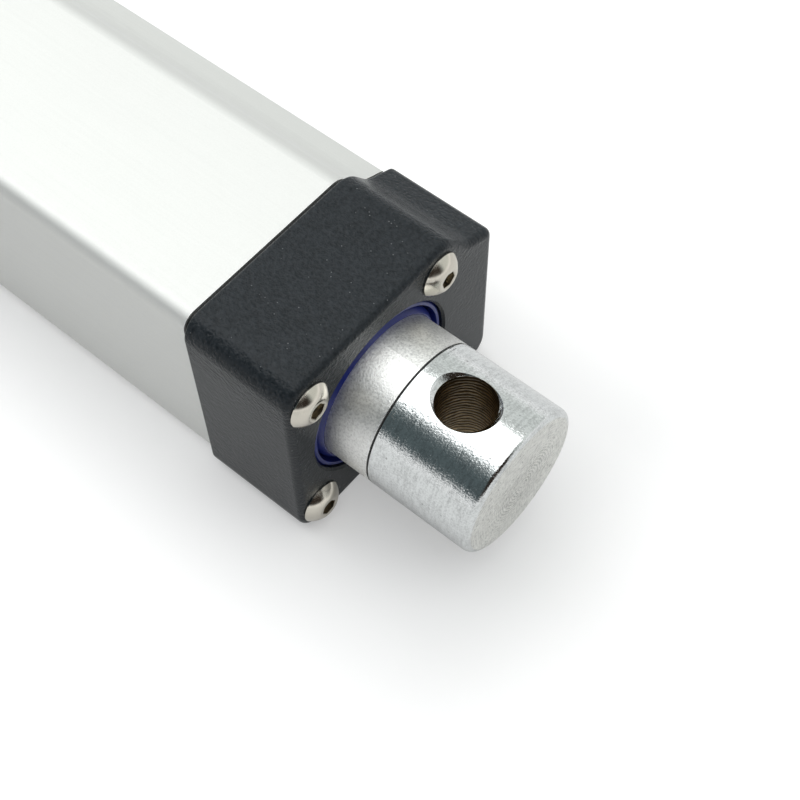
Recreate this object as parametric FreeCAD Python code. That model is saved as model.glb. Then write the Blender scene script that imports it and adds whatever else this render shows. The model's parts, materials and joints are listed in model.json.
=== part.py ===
import FreeCAD, Part
import math
import os

os.makedirs("parts", exist_ok=True)

# Waterproof linear actuator with a worm gear motor at a right angle, in millimetres.
# The origin is the middle of the rear pivot hole, +X runs along the rod and +Z is up.

# Travel and length
stroke = 100.0
dead_length = 105.0

# Rod and rod end
rod_diameter = 20.0
rod_wall = 2.0
rod_shown = 6.0
rod_end_seam = 0.3
rod_end_ring_inset = 0.35
rod_end_head = 14.7
rod_end_spigot = 12.0
rod_end_relief = 11.0
rod_end_relief_wall = 1.4
rod_end_rounding = 1.0
rod_hole_ahead = 12.7
pivot_bore = 7.4
pivot_chamfer = 0.72

# Section that the tube, the cap and the gaskets share
wall_left = 2.05
wall_top = 2.45
wall_bottom = 2.25
wall_shoulder = 2.7
wall_lobe = 1.95
body_corner = 3.0
crest_radius = 4.0
valley_radius = 5.0
shoulder_slope = 50.0
lobe_corner = 1.5
lobe_flat = 3.0
lobe_slope = 22.0
tube_inset = 0.95
gasket_edge = 0.3
gasket_thickness = 0.8

# Tube inside
channel_height = 13.0
port_wall = 2.33
port_shift = 0.7

# Front cap
cap_length = 15.85
cap_front_rounding = 1.0
cap_rear_rounding = 0.4
cap_spigot = 4.0
cap_spigot_wall = 0.85
cap_spigot_gap = 0.1
seal_section = 1.93
seal_depth = 5.5
seal_bore_chamfer = 0.3
bush_wall = 1.5

# Wiper seal
seal_recess = 0.5
seal_groove_depth = 2.2
seal_lip_thickness = 0.75
seal_rim_thickness = 0.7

# Running clearance on the radius
running_clearance = 0.05
slide_clearance = 0.08
key_clearance = 0.3

# Screws of the cap, the plate and the motor cover
screw_diameter = 3.0
screw_grip = 12.0
button_head_diameter = 6.0
button_head_height = 1.45
button_head_flat = 3.2
button_rim = 0.2
button_socket = 2.0
button_socket_depth = 1.0
socket_head_diameter = 5.5
socket_head_height = 3.0
socket_head_key = 2.5
socket_head_key_depth = 1.5
flat_head_diameter = 6.0
flat_head_height = 1.7

# Drive nut and lead screw
nut_flange = 10.0
nut_spigot = 12.0
nut_rear_gap = 3.0
nut_key_depth = 0.7
screw_thread_diameter = 10.0
screw_journal_diameter = 8.0
screw_tip_diameter = 5.0
stop_gap = 1.2
stop_washer_gap = 2.0
stop_washer_thickness = 2.0
stop_nut_width = 8.0
stop_nut_height = 4.0
screw_tip_shown = 0.5

# Limit switches and their board
board_thickness = 1.6
board_rear_gap = 1.5
board_front_gap = 8.0
switch_length = 12.8
switch_height = 6.0
switch_thickness = 3.2
switch_gap = 0.4

# Bearing of the lead screw
bearing_outer = 22.0
bearing_width = 7.0
bearing_shoulder = 1.5
bearing_inner_step = 1.3
bearing_outer_step = 1.5
ball_radius = 1.98
ball_count = 7
shield_thickness = 0.4

# Worm gear
gear_module = 1.0
wheel_teeth = 20
worm_pitch_radius = 5.0
gear_backlash = 0.3
pressure_angle = math.radians(20.0)
root_allowance = 0.25
wheel_width = 8.0
wheel_key_width = 2.0
wheel_key_height = 2.0
worm_length = 18.0
thread_half_turns = 9
thread_sink = 0.25

# Gear housing
pivot_to_housing = 12.0
housing_length = 26.0
plate_thickness = 9.0
block_corner = 5.0
block_rounding = 1.5
plate_screw_gap = 0.95
plate_screw_side = 4.0
plate_screw_edge = 4.8
plate_screw_depth = 6.0
rear_wall = 7.0
wheel_end_gap = 0.3
chamber_gap = 1.6
worm_gap = 1.0
barrel_wall = 4.5
barrel_end_wall = 4.0
barrel_rounding = 2.0
lug_radius = 9.0
lug_height = 14.0
rear_bush_length = 5.5
rear_bush_wall = 2.0
rear_bush_flange = 8.0
rear_bush_flange_thickness = 1.7
worm_bush_length = 5.0
worm_bush_wall = 2.0
worm_bush_gap = 3.0

# Motor
motor_radius = 15.0
motor_length = 48.0
motor_wall = 1.5
motor_pocket = 4.0
motor_boss_wall = 0.5
motor_boss_length = 3.0
shaft_radius = 2.5
magnet_thickness = 2.3
magnet_span = 120.0
magnet_overhang = 4.0
core_gap = 0.4
core_length = 28.0
core_slots = 5
core_slot_width = 2.4
core_slot_depth = 6.0
winding_length = 4.0
winding_step = 1.3
winding_inner = 4.0
commutator_radius = 4.0
commutator_length = 4.0
commutator_gap = 1.0
commutator_tail = 0.5
brush_width = 3.0
brush_length = 6.0
brush_height = 2.4
end_bell_thickness = 4.0
end_bell_spigot = 2.0
terminal_width = 4.8
terminal_thickness = 0.8
terminal_length = 3.0
terminal_offset = 6.5
motor_pad_inner = 9.0
motor_pad_thickness = 4.0
bush_radius = 4.5

# Motor cover
motor_air = 1.5
flange_length = 6.0
motor_gasket_thickness = 1.0
cover_wall = 2.0
cover_end = 3.0
cover_rounding = 2.0
ear_radius = 4.5
ear_head_gap = 0.5
ear_thickness = 5.0
ear_angles = (30.0, 150.0, 270.0)
cover_screw_grip = 5.0

# Cable gland
gland_gap = 1.34
gland_thread_radius = 6.0
gland_thread_length = 8.0
gland_hex_width = 15.0
gland_hex_length = 5.0
gland_nut_radius = 7.0
gland_nut_length = 9.0
gland_nut_rounding = 1.5
gland_cord_bore = 6.0
gland_seal_wall = 1.8
gland_seal_length = 7.0
cable_way_radius = 3.0

# Places worked out from the sizes above
rod_radius = rod_diameter / 2.0
rod_inner_radius = rod_radius - rod_wall
screw_radius = screw_diameter / 2.0
journal_radius = screw_journal_diameter / 2.0
thread_radius = screw_thread_diameter / 2.0

# Section, from the bore outwards
seal_bore = rod_diameter + 2.0 * seal_section
bush_outer_radius = rod_radius + running_clearance + bush_wall
bore_radius = bush_outer_radius + cap_spigot_wall + cap_spigot_gap
nut_key_reach = bore_radius + nut_key_depth
channel_right = nut_key_reach + switch_gap + switch_thickness + board_thickness
body_left = -(bore_radius + wall_left + tube_inset)
body_right = channel_right + wall_lobe + tube_inset
body_top = bore_radius + wall_top + tube_inset
body_bottom = -(bore_radius + wall_bottom + tube_inset)
body_shoulder = channel_height / 2.0 + wall_shoulder + tube_inset
gasket_inset = tube_inset + gasket_edge
cap_screw_square = (bore_radius + port_wall + screw_radius) * math.sqrt(2.0)

# Worm gear
wheel_pitch_radius = gear_module * wheel_teeth / 2.0
worm_height = wheel_pitch_radius + worm_pitch_radius
wheel_tip_radius = wheel_pitch_radius + gear_module
worm_tip_radius = worm_pitch_radius + gear_module
worm_pitch = math.pi * gear_module
worm_chamber_radius = worm_tip_radius + worm_gap
barrel_radius = worm_chamber_radius + barrel_wall
worm_bush_place = worm_length / 2.0 + worm_bush_gap
barrel_right = worm_bush_place + worm_bush_length + barrel_end_wall

# Places along the rod, from the rear pivot forwards
housing_rear = pivot_to_housing
wheel_rear = housing_rear + rear_wall + rear_bush_flange_thickness + wheel_end_gap
wheel_middle = wheel_rear + wheel_width / 2.0
wheel_front = wheel_rear + wheel_width
housing_front = housing_rear + housing_length
plate_rear = housing_front + gasket_thickness
plate_front = plate_rear + plate_thickness
bearing_front = plate_front - bearing_shoulder
bearing_rear = bearing_front - bearing_width
tube_rear = plate_front + gasket_thickness
nut_rear = tube_rear + nut_rear_gap
nut_front = nut_rear + nut_flange
nut_tip = nut_front + nut_spigot
thread_end = nut_tip + stroke + stop_gap
screw_tip = thread_end + stop_washer_thickness + stop_nut_height + screw_tip_shown
hole_to_hole = stroke + dead_length
cap_face = hole_to_hole - rod_hole_ahead
cap_rear = cap_face - cap_length
tube_front = cap_rear - gasket_thickness
rod_front = cap_face + rod_shown
rod_end_rear = rod_front + rod_end_seam
rod_end_tip = rod_end_rear + rod_end_head

# Bearing
bearing_pitch_radius = (bearing_outer / 2.0 + journal_radius) / 2.0
bearing_inner_land = bearing_pitch_radius - bearing_inner_step
bearing_outer_land = bearing_pitch_radius + bearing_outer_step

# Plate and housing sides, with the plate's screws beside the tube
plate_screw_left = body_left + tube_inset - plate_screw_gap - socket_head_diameter / 2.0
plate_screw_right = body_right - tube_inset + plate_screw_gap + socket_head_diameter / 2.0
block_left = plate_screw_left - plate_screw_side
block_right = plate_screw_right + plate_screw_side
gland_side = lug_radius + gland_gap + gland_hex_width / math.sqrt(3.0)

# Motor, from the housing toward -Y
flange_radius = motor_radius + motor_air + cover_wall
motor_boss_radius = bush_radius + motor_boss_wall
magnet_length = core_length + 2.0 * magnet_overhang
flange_face = block_left - flange_length
motor_face = flange_face + motor_pocket
motor_end = motor_face - motor_length
commutator_front = motor_end + commutator_tail + commutator_length
core_rear = commutator_front + commutator_gap + winding_length
core_front = core_rear + core_length
bell_end = motor_end - end_bell_thickness
cover_mouth = flange_face - motor_gasket_thickness
cover_inner_end = bell_end - motor_pad_thickness
cover_outer_end = cover_inner_end - cover_end
ear_ring = flange_radius + button_head_diameter / 2.0 + ear_head_gap


def vector(x, y, z):
    return FreeCAD.Vector(x, y, z)


def cylinder_x(radius, start, end, y=0.0, z=0.0):
    return Part.makeCylinder(radius, end - start, vector(start, y, z), vector(1, 0, 0))


def cylinder_y(radius, start, end, x, z):
    return Part.makeCylinder(radius, end - start, vector(x, start, z), vector(0, 1, 0))


def cylinder_z(radius, start, end, x=0.0, y=0.0):
    return Part.makeCylinder(radius, end - start, vector(x, y, start), vector(0, 0, 1))


def block(x_range, y_range, z_range):
    corner = vector(x_range[0], y_range[0], z_range[0])
    return Part.makeBox(
        x_range[1] - x_range[0], y_range[1] - y_range[0], z_range[1] - z_range[0], corner
    )


def ring_x(outer, inner, start, end):
    return cylinder_x(outer, start, end).cut(cylinder_x(inner, start, end))


def motor_cylinder(radius, start, end):
    return cylinder_y(radius, start, end, wheel_middle, worm_height)


def motor_ring(outer, inner, start, end):
    return motor_cylinder(outer, start, end).cut(motor_cylinder(inner, start, end))


def fuse_all(shapes):
    return shapes[0].multiFuse(shapes[1:]).removeSplitter()


def save(name, shape):
    shape.exportStep("parts/" + name + ".step")


def away(point, length, degrees):
    """Point at a distance and a direction from another, with the angle from +Y toward +Z."""
    angle = math.radians(degrees)
    return (point[0] + length * math.cos(angle), point[1] + length * math.sin(angle))


def arc_edge(centre, radius, start_degrees, end_degrees, place):
    """Arc in the plane x = place, with angles from +Y toward +Z."""
    points = []
    for degrees in (start_degrees, (start_degrees + end_degrees) / 2.0, end_degrees):
        y, z = away(centre, radius, degrees)
        points.append(vector(place, y, z))
    return Part.Arc(*points).toShape()


def joined_outline(arcs):
    """Closed wire made of arcs in order, joined by straight lines."""
    edges = []
    for index, arc in enumerate(arcs):
        following = arcs[(index + 1) % len(arcs)]
        edges.append(arc)
        start = arc.lastVertex(True).Point
        end = following.firstVertex(True).Point
        if start.distanceToPoint(end) > 0.001:
            edges.append(Part.makeLine(start, end))
    return Part.Wire(edges)


def body_outline(inset, place):
    """Section of the tube: a square with an S-shaped shoulder down to the sloping side lobe."""
    lobe_turn = 90.0 - lobe_slope
    steep_turn = 90.0 - shoulder_slope
    lobe_centre = (body_right - lobe_corner, body_shoulder - lobe_corner)
    lobe_top = away(lobe_centre, lobe_corner + valley_radius, lobe_turn)
    valley_centre = away(lobe_top, lobe_flat, 180.0 - lobe_slope)
    crest_foot = away(valley_centre, -(crest_radius + valley_radius), steep_turn)
    crest_rise = body_top - crest_radius - crest_foot[1]
    steep_length = crest_rise / math.sin(math.radians(shoulder_slope))
    crest_centre = away(crest_foot, steep_length, 180.0 - shoulder_slope)
    corner_low = body_bottom + body_corner
    corner_left = body_left + body_corner
    corner_right = body_right - body_corner
    corner = body_corner - inset
    top_left = (corner_left, body_top - body_corner)
    return joined_outline([
        arc_edge(top_left, corner, 180.0, 90.0, place),
        arc_edge(crest_centre, crest_radius - inset, 90.0, steep_turn, place),
        arc_edge(valley_centre, valley_radius + inset, 180.0 + steep_turn, 180.0 + lobe_turn, place),
        arc_edge(lobe_centre, lobe_corner - inset, lobe_turn, 0.0, place),
        arc_edge((corner_right, corner_low), corner, 0.0, -90.0, place),
        arc_edge((corner_left, corner_low), corner, 270.0, 180.0, place),
    ])


def block_outline(place):
    """Section of the gear housing and its plate: a rectangle with round corners."""
    low = body_bottom + block_corner
    high = body_top - block_corner
    left = block_left + block_corner
    right = block_right - block_corner
    return joined_outline([
        arc_edge((left, high), block_corner, 180.0, 90.0, place),
        arc_edge((right, high), block_corner, 90.0, 0.0, place),
        arc_edge((right, low), block_corner, 0.0, -90.0, place),
        arc_edge((left, low), block_corner, 270.0, 180.0, place),
    ])


def prism(outline, length):
    return Part.Face(outline).extrude(vector(length, 0, 0))


def edges_at(shape, place):
    """Edges that lie wholly in the plane x = place."""
    found = []
    for edge in shape.Edges:
        bounds = edge.BoundBox
        if abs(bounds.XMin - place) < 0.001 and abs(bounds.XMax - place) < 0.001:
            found.append(edge)
    return found


def revolve_x(points):
    """Solid of revolution about the X axis from (x, radius) points."""
    wire = Part.makePolygon([vector(x, 0, radius) for x, radius in points + points[:1]])
    return Part.Face(wire).revolve(vector(0, 0, 0), vector(1, 0, 0), 360.0)


def hexagon_x(width, start, end):
    """Hexagonal bar along X, with its flats the given width apart."""
    corner = width / math.sqrt(3.0)
    points = []
    for index in range(7):
        angle = math.radians(60.0 * index)
        points.append(vector(start, corner * math.cos(angle), corner * math.sin(angle)))
    return prism(Part.makePolygon(points), end - start)


def button_screw(length):
    """Button head screw whose head stands on x = 0 and whose shank runs to -X."""
    rim = button_head_diameter / 2.0
    flat = button_head_flat / 2.0
    middle = vector(
        button_rim + 0.64 * (button_head_height - button_rim), 0, flat + 0.66 * (rim - flat)
    )
    edges = [
        Part.makeLine(vector(0, 0, 0), vector(0, 0, rim)),
        Part.makeLine(vector(0, 0, rim), vector(button_rim, 0, rim)),
        Part.Arc(vector(button_rim, 0, rim), middle, vector(button_head_height, 0, flat)).toShape(),
        Part.makeLine(vector(button_head_height, 0, flat), vector(button_head_height, 0, 0)),
        Part.makeLine(vector(button_head_height, 0, 0), vector(0, 0, 0)),
    ]
    head = Part.Face(Part.Wire(edges)).revolve(vector(0, 0, 0), vector(1, 0, 0), 360.0)
    socket_floor = button_head_height - button_socket_depth
    head = head.cut(hexagon_x(button_socket, socket_floor, button_head_height + 1.0))
    return fuse_all([head, cylinder_x(screw_radius, -length, 0.0)])


def socket_screw(length):
    """Cylinder head screw whose head stands on x = 0 and whose shank runs to -X."""
    head = cylinder_x(socket_head_diameter / 2.0, 0.0, socket_head_height)
    key_floor = socket_head_height - socket_head_key_depth
    head = head.cut(hexagon_x(socket_head_key, key_floor, socket_head_height + 1.0))
    return fuse_all([head, cylinder_x(screw_radius, -length, 0.0)])


def flat_screw(length):
    """Countersunk screw whose flat top is x = 0 and whose shank runs to +X."""
    rim = flat_head_diameter / 2.0
    shape = revolve_x([
        (0.0, 0.0), (0.0, rim), (flat_head_height, screw_radius), (length, screw_radius), (length, 0.0)
    ])
    return shape.cut(hexagon_x(button_socket, -1.0, button_socket_depth))


def placed(shape, x, y, z):
    moved = shape.copy()
    moved.translate(vector(x, y, z))
    return moved


def cap_screw_places():
    half = cap_screw_square / 2.0
    sides = (half - port_shift, -half - port_shift)
    return [(side, height) for side in sides for height in (half, -half)]


def plate_screw_places():
    high = body_top - plate_screw_edge
    low = body_bottom + plate_screw_edge
    sides = (plate_screw_left, plate_screw_right)
    return [(side, height) for side in sides for height in (high, low)]


def ear_places():
    """Centres (x, z) of the ears round the motor."""
    places = []
    for degrees in ear_angles:
        angle = math.radians(degrees)
        x = wheel_middle + ear_ring * math.cos(angle)
        places.append((x, worm_height + ear_ring * math.sin(angle)))
    return places


def ear_shapes(start, thickness):
    """Round screw ears with straight sides, from y = start toward +Y."""
    shapes = []
    for degrees in ear_angles:
        ear = Part.makeBox(ear_ring, 2.0 * ear_radius, thickness, vector(0, -ear_radius, 0))
        ear = ear.fuse(Part.makeCylinder(ear_radius, thickness, vector(ear_ring, 0, 0)))
        ear.rotate(vector(0, 0, 0), vector(1, 0, 0), -90.0)
        ear.rotate(vector(0, 0, 0), vector(0, 1, 0), -degrees)
        shapes.append(placed(ear, wheel_middle, start, worm_height))
    return shapes


# Tube: the shared section, a round bore, screw ports and the switch channel
def make_outer_tube():
    length = tube_front - tube_rear
    tube = prism(body_outline(tube_inset, tube_rear), length)
    cuts = [cylinder_x(bore_radius, tube_rear, tube_front)]
    for y, z in cap_screw_places():
        cuts.append(cylinder_x(screw_radius, tube_rear, tube_front, y, z))
    half = channel_height / 2.0
    cuts.append(block((tube_rear, tube_front), (0.0, channel_right), (-half, half)))
    return tube.cut(cuts)


# Front cap: die-cast block with a rounded front rim, a seal bore and a rear spigot
def make_front_cap():
    cap = prism(body_outline(0.0, cap_rear), cap_length)
    cap = cap.makeFillet(cap_front_rounding, edges_at(cap, cap_face))
    cap = cap.makeFillet(cap_rear_rounding, edges_at(cap, cap_rear))
    spigot_radius = bore_radius - cap_spigot_gap
    cap = cap.fuse(cylinder_x(spigot_radius, cap_rear - cap_spigot, cap_rear + 1.0))
    seal_radius = seal_bore / 2.0
    cuts = [
        cylinder_x(bush_outer_radius, cap_rear - cap_spigot, cap_face),
        cylinder_x(seal_radius, cap_face - seal_depth, cap_face),
        Part.makeCone(
            seal_radius, seal_radius + seal_bore_chamfer, seal_bore_chamfer,
            vector(cap_face - seal_bore_chamfer, 0, 0), vector(1, 0, 0)
        ),
    ]
    for y, z in cap_screw_places():
        cuts.append(cylinder_x(screw_radius, cap_rear, cap_face, y, z))
    return cap.cut(cuts).removeSplitter()


def make_cap_screws():
    length = cap_length + gasket_thickness + screw_grip
    screw = button_screw(length)
    return Part.makeCompound([placed(screw, cap_face, y, z) for y, z in cap_screw_places()])


def make_gasket(place):
    """Flat gasket with the tube's section, between the tube and what it meets."""
    gasket = prism(body_outline(gasket_inset, place), gasket_thickness)
    cuts = [cylinder_x(bore_radius, place, place + gasket_thickness)]
    for y, z in cap_screw_places():
        cuts.append(cylinder_x(screw_radius, place, place + gasket_thickness, y, z))
    return gasket.cut(cuts)


def make_guide_bush():
    inner = rod_radius + running_clearance
    return ring_x(bush_outer_radius, inner, cap_rear - cap_spigot, cap_face - seal_depth)


def make_wiper_seal():
    """Wiper with an outer rim, a groove and a lip that leans to the rod."""
    outer = seal_bore / 2.0
    inner = rod_radius + running_clearance
    floor = cap_face - seal_depth
    face = cap_face - seal_recess
    groove = face - seal_groove_depth
    rim_inner = outer - seal_rim_thickness
    lip_outer = inner + seal_lip_thickness
    return revolve_x([
        (floor, inner), (floor, outer), (face - 0.3, outer), (face, outer - 0.3), (face, rim_inner),
        (groove, rim_inner - 0.1), (groove, lip_outer), (face - 0.6, lip_outer),
        (face + 0.2, inner + 0.2), (face + 0.1, inner),
    ])


def make_rod_tube():
    return ring_x(rod_radius, rod_inner_radius, nut_front, rod_front)


def make_rod_end_ring():
    return ring_x(rod_radius - rod_end_ring_inset, rod_inner_radius, rod_front, rod_end_rear)


# Rod end: plated plug with a rounded tip, a chamfered cross hole and a hollow spigot
def make_rod_end():
    head = cylinder_x(rod_radius, rod_end_rear, rod_end_tip)
    head = head.makeFillet(rod_end_rounding, edges_at(head, rod_end_tip))
    spigot_rear = rod_end_rear - rod_end_spigot
    spigot = cylinder_x(rod_inner_radius, spigot_rear, rod_end_rear)
    shape = fuse_all([head, spigot])
    relief_radius = rod_inner_radius - rod_end_relief_wall
    hole = pivot_bore / 2.0
    cuts = [
        cylinder_z(hole, -rod_radius, rod_radius, hole_to_hole),
        cylinder_x(relief_radius, spigot_rear, spigot_rear + rod_end_relief),
    ]
    for side in (1.0, -1.0):
        start = vector(hole_to_hole, 0, side * (rod_radius - pivot_chamfer))
        cuts.append(Part.makeCone(hole, hole + pivot_chamfer, pivot_chamfer, start, vector(0, 0, side)))
    return shape.cut(cuts)


# Drive nut: flange in the tube's bore with a key in the switch channel
def make_drive_nut():
    flange = cylinder_x(bore_radius - slide_clearance, nut_rear, nut_front)
    half = channel_height / 2.0 - key_clearance
    key = block((nut_rear, nut_front), (0.0, nut_key_reach), (-half, half))
    spigot = cylinder_x(rod_inner_radius, nut_front, nut_tip)
    nut = fuse_all([flange, key, spigot])
    return nut.cut(cylinder_x(thread_radius + running_clearance, nut_rear, nut_tip))


def wheel_key_shape():
    half = wheel_key_width / 2.0
    low = journal_radius - wheel_key_height / 2.0
    high = journal_radius + wheel_key_height / 2.0
    return block((wheel_rear, wheel_front), (-half, half), (low, high))


def make_lead_screw():
    rear = housing_rear + rear_wall - rear_bush_length
    screw = fuse_all([
        cylinder_x(journal_radius, rear, bearing_front),
        cylinder_x(thread_radius, bearing_front, thread_end),
        cylinder_x(screw_tip_diameter / 2.0, thread_end, screw_tip),
    ])
    return screw.cut(wheel_key_shape())


def make_stop_washer():
    outer = rod_inner_radius - stop_washer_gap
    return ring_x(outer, screw_tip_diameter / 2.0, thread_end, thread_end + stop_washer_thickness)


def make_stop_nut():
    start = thread_end + stop_washer_thickness
    end = start + stop_nut_height
    return hexagon_x(stop_nut_width, start, end).cut(cylinder_x(screw_tip_diameter / 2.0, start, end))


def make_switch_board():
    half = channel_height / 2.0
    ends = (tube_rear + board_rear_gap, tube_front - board_front_gap)
    return block(ends, (channel_right - board_thickness, channel_right), (-half, half))


def make_limit_switches():
    """Two small switches on the board, beside the nut's key at each end of its travel."""
    sides = (nut_key_reach + switch_gap, channel_right - board_thickness)
    half = switch_height / 2.0
    switches = []
    for start in (nut_rear, nut_rear + stroke):
        middle = start + nut_flange / 2.0
        ends = (middle - switch_length / 2.0, middle + switch_length / 2.0)
        switches.append(block(ends, sides, (-half, half)))
    return Part.makeCompound(switches)


def make_bearing_plate():
    plate = prism(block_outline(plate_rear), plate_thickness)
    cuts = [
        cylinder_x(bearing_outer / 2.0, plate_rear, bearing_front),
        cylinder_x(bearing_inner_land + 0.8, plate_rear, plate_front),
    ]
    for y, z in cap_screw_places():
        cuts.append(placed(flat_screw(plate_thickness), plate_rear, y, z))
        cuts.append(cylinder_x(button_socket, plate_rear, plate_rear + button_socket_depth, y, z))
    for y, z in plate_screw_places():
        cuts.append(cylinder_x(screw_radius, plate_rear, plate_front, y, z))
    return plate.cut(cuts)


def make_tube_screws():
    length = plate_thickness + gasket_thickness + screw_grip
    screw = flat_screw(length)
    return Part.makeCompound([placed(screw, plate_rear, y, z) for y, z in cap_screw_places()])


def make_plate_screws():
    length = plate_thickness + gasket_thickness + plate_screw_depth
    screw = socket_screw(length)
    return Part.makeCompound([placed(screw, plate_front, y, z) for y, z in plate_screw_places()])


def make_housing_gasket():
    gasket = prism(block_outline(housing_front), gasket_thickness)
    cuts = [cylinder_x(wheel_tip_radius + chamber_gap, housing_front, plate_rear)]
    for y, z in cap_screw_places():
        cuts.append(cylinder_x(button_socket, housing_front, plate_rear, y, z))
    for y, z in plate_screw_places():
        cuts.append(cylinder_x(screw_radius, housing_front, plate_rear, y, z))
    return gasket.cut(cuts)


def ball_groove():
    middle = (bearing_rear + bearing_front) / 2.0
    minor = ball_radius + running_clearance
    return Part.makeTorus(bearing_pitch_radius, minor, vector(middle, 0, 0), vector(1, 0, 0))


def make_bearing_outer_race():
    race = ring_x(bearing_outer / 2.0, bearing_outer_land, bearing_rear, bearing_front)
    return race.cut(ball_groove())


def make_bearing_inner_race():
    race = ring_x(bearing_inner_land, journal_radius, bearing_rear, bearing_front)
    return race.cut(ball_groove())


def make_bearing_balls():
    middle = (bearing_rear + bearing_front) / 2.0
    balls = []
    for index in range(ball_count):
        angle = 2.0 * math.pi * index / ball_count
        y = bearing_pitch_radius * math.cos(angle)
        z = bearing_pitch_radius * math.sin(angle)
        balls.append(Part.makeSphere(ball_radius, vector(middle, y, z)))
    return Part.makeCompound(balls)


def make_bearing_shields():
    inner = bearing_inner_land + key_clearance
    rear = ring_x(bearing_outer_land, inner, bearing_rear, bearing_rear + shield_thickness)
    front = ring_x(bearing_outer_land, inner, bearing_front - shield_thickness, bearing_front)
    return Part.makeCompound([rear, front])


def make_wheel_spacer():
    return ring_x(bearing_inner_land, journal_radius, wheel_front, bearing_rear)


def involute(angle):
    return math.tan(angle) - angle


def tooth_half_angle(radius):
    """Half of a wheel tooth's angle at a radius, on an involute flank."""
    base_radius = wheel_pitch_radius * math.cos(pressure_angle)
    thickness = math.pi * gear_module / 2.0 - gear_backlash / 2.0
    pitch_half = thickness / (2.0 * wheel_pitch_radius)
    local = math.acos(base_radius / max(radius, base_radius))
    return pitch_half + involute(pressure_angle) - involute(local)


def wheel_outline(place, turn):
    """Toothed section of the wheel, with a tooth gap at the top when turn is zero."""
    root = wheel_pitch_radius - gear_module - root_allowance
    base = wheel_pitch_radius * math.cos(pressure_angle)
    upper = (wheel_pitch_radius + wheel_tip_radius) / 2.0
    radii = [root, base, wheel_pitch_radius, upper, wheel_tip_radius]
    points = []
    for tooth in range(wheel_teeth):
        middle = turn + (tooth + 0.5) * 2.0 * math.pi / wheel_teeth
        rising = [(radius, middle - tooth_half_angle(radius)) for radius in radii]
        falling = [(radius, middle + tooth_half_angle(radius)) for radius in reversed(radii)]
        for radius, angle in rising + falling:
            points.append(vector(place, -radius * math.sin(angle), radius * math.cos(angle)))
    return Part.makePolygon(points + points[:1])


# Worm wheel: involute teeth that lean with the worm's lead
def make_worm_wheel():
    lead_slope = gear_module / (2.0 * worm_pitch_radius)
    half_turn = lead_slope * (wheel_width / 2.0) / wheel_pitch_radius
    outlines = [wheel_outline(wheel_rear, -half_turn), wheel_outline(wheel_front, half_turn)]
    wheel = Part.makeLoft(outlines, True, True)
    return wheel.cut([cylinder_x(journal_radius, wheel_rear, wheel_front), wheel_key_shape()])


# Worm: a right-hand thread with rack flanks, swept along a helix
def make_worm():
    root = worm_pitch_radius - gear_module - root_allowance
    foot = root - thread_sink
    slope = math.tan(pressure_angle)
    half_pitch = (math.pi * gear_module / 2.0 - gear_backlash / 2.0) / 2.0
    half_tip = half_pitch - slope * (worm_tip_radius - worm_pitch_radius)
    half_foot = half_pitch + slope * (worm_pitch_radius - foot)
    height = worm_pitch * thread_half_turns / 2.0
    section = Part.makePolygon([
        vector(foot, 0, -half_foot), vector(worm_tip_radius, 0, -half_tip),
        vector(worm_tip_radius, 0, half_tip), vector(foot, 0, half_foot), vector(foot, 0, -half_foot),
    ])
    helix = Part.makeHelix(worm_pitch, height, worm_pitch_radius)
    thread = Part.Wire(helix).makePipeShell([section], True, True)
    thread.translate(vector(0, 0, -height / 2.0))
    core = Part.makeCylinder(root, worm_length, vector(0, 0, -worm_length / 2.0))
    worm = core.fuse(thread).removeSplitter()
    bore = Part.makeCylinder(shaft_radius, worm_length, vector(0, 0, -worm_length / 2.0))
    worm = worm.cut(bore)
    worm.rotate(vector(0, 0, 0), vector(1, 0, 0), -90.0)
    return placed(worm, wheel_middle, 0.0, worm_height)


def make_rear_bush():
    floor = housing_rear + rear_wall
    inner = journal_radius + running_clearance
    sleeve = ring_x(journal_radius + rear_bush_wall, inner, floor - rear_bush_length, floor)
    collar = ring_x(rear_bush_flange, inner, floor, floor + rear_bush_flange_thickness)
    return fuse_all([sleeve, collar])


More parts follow.
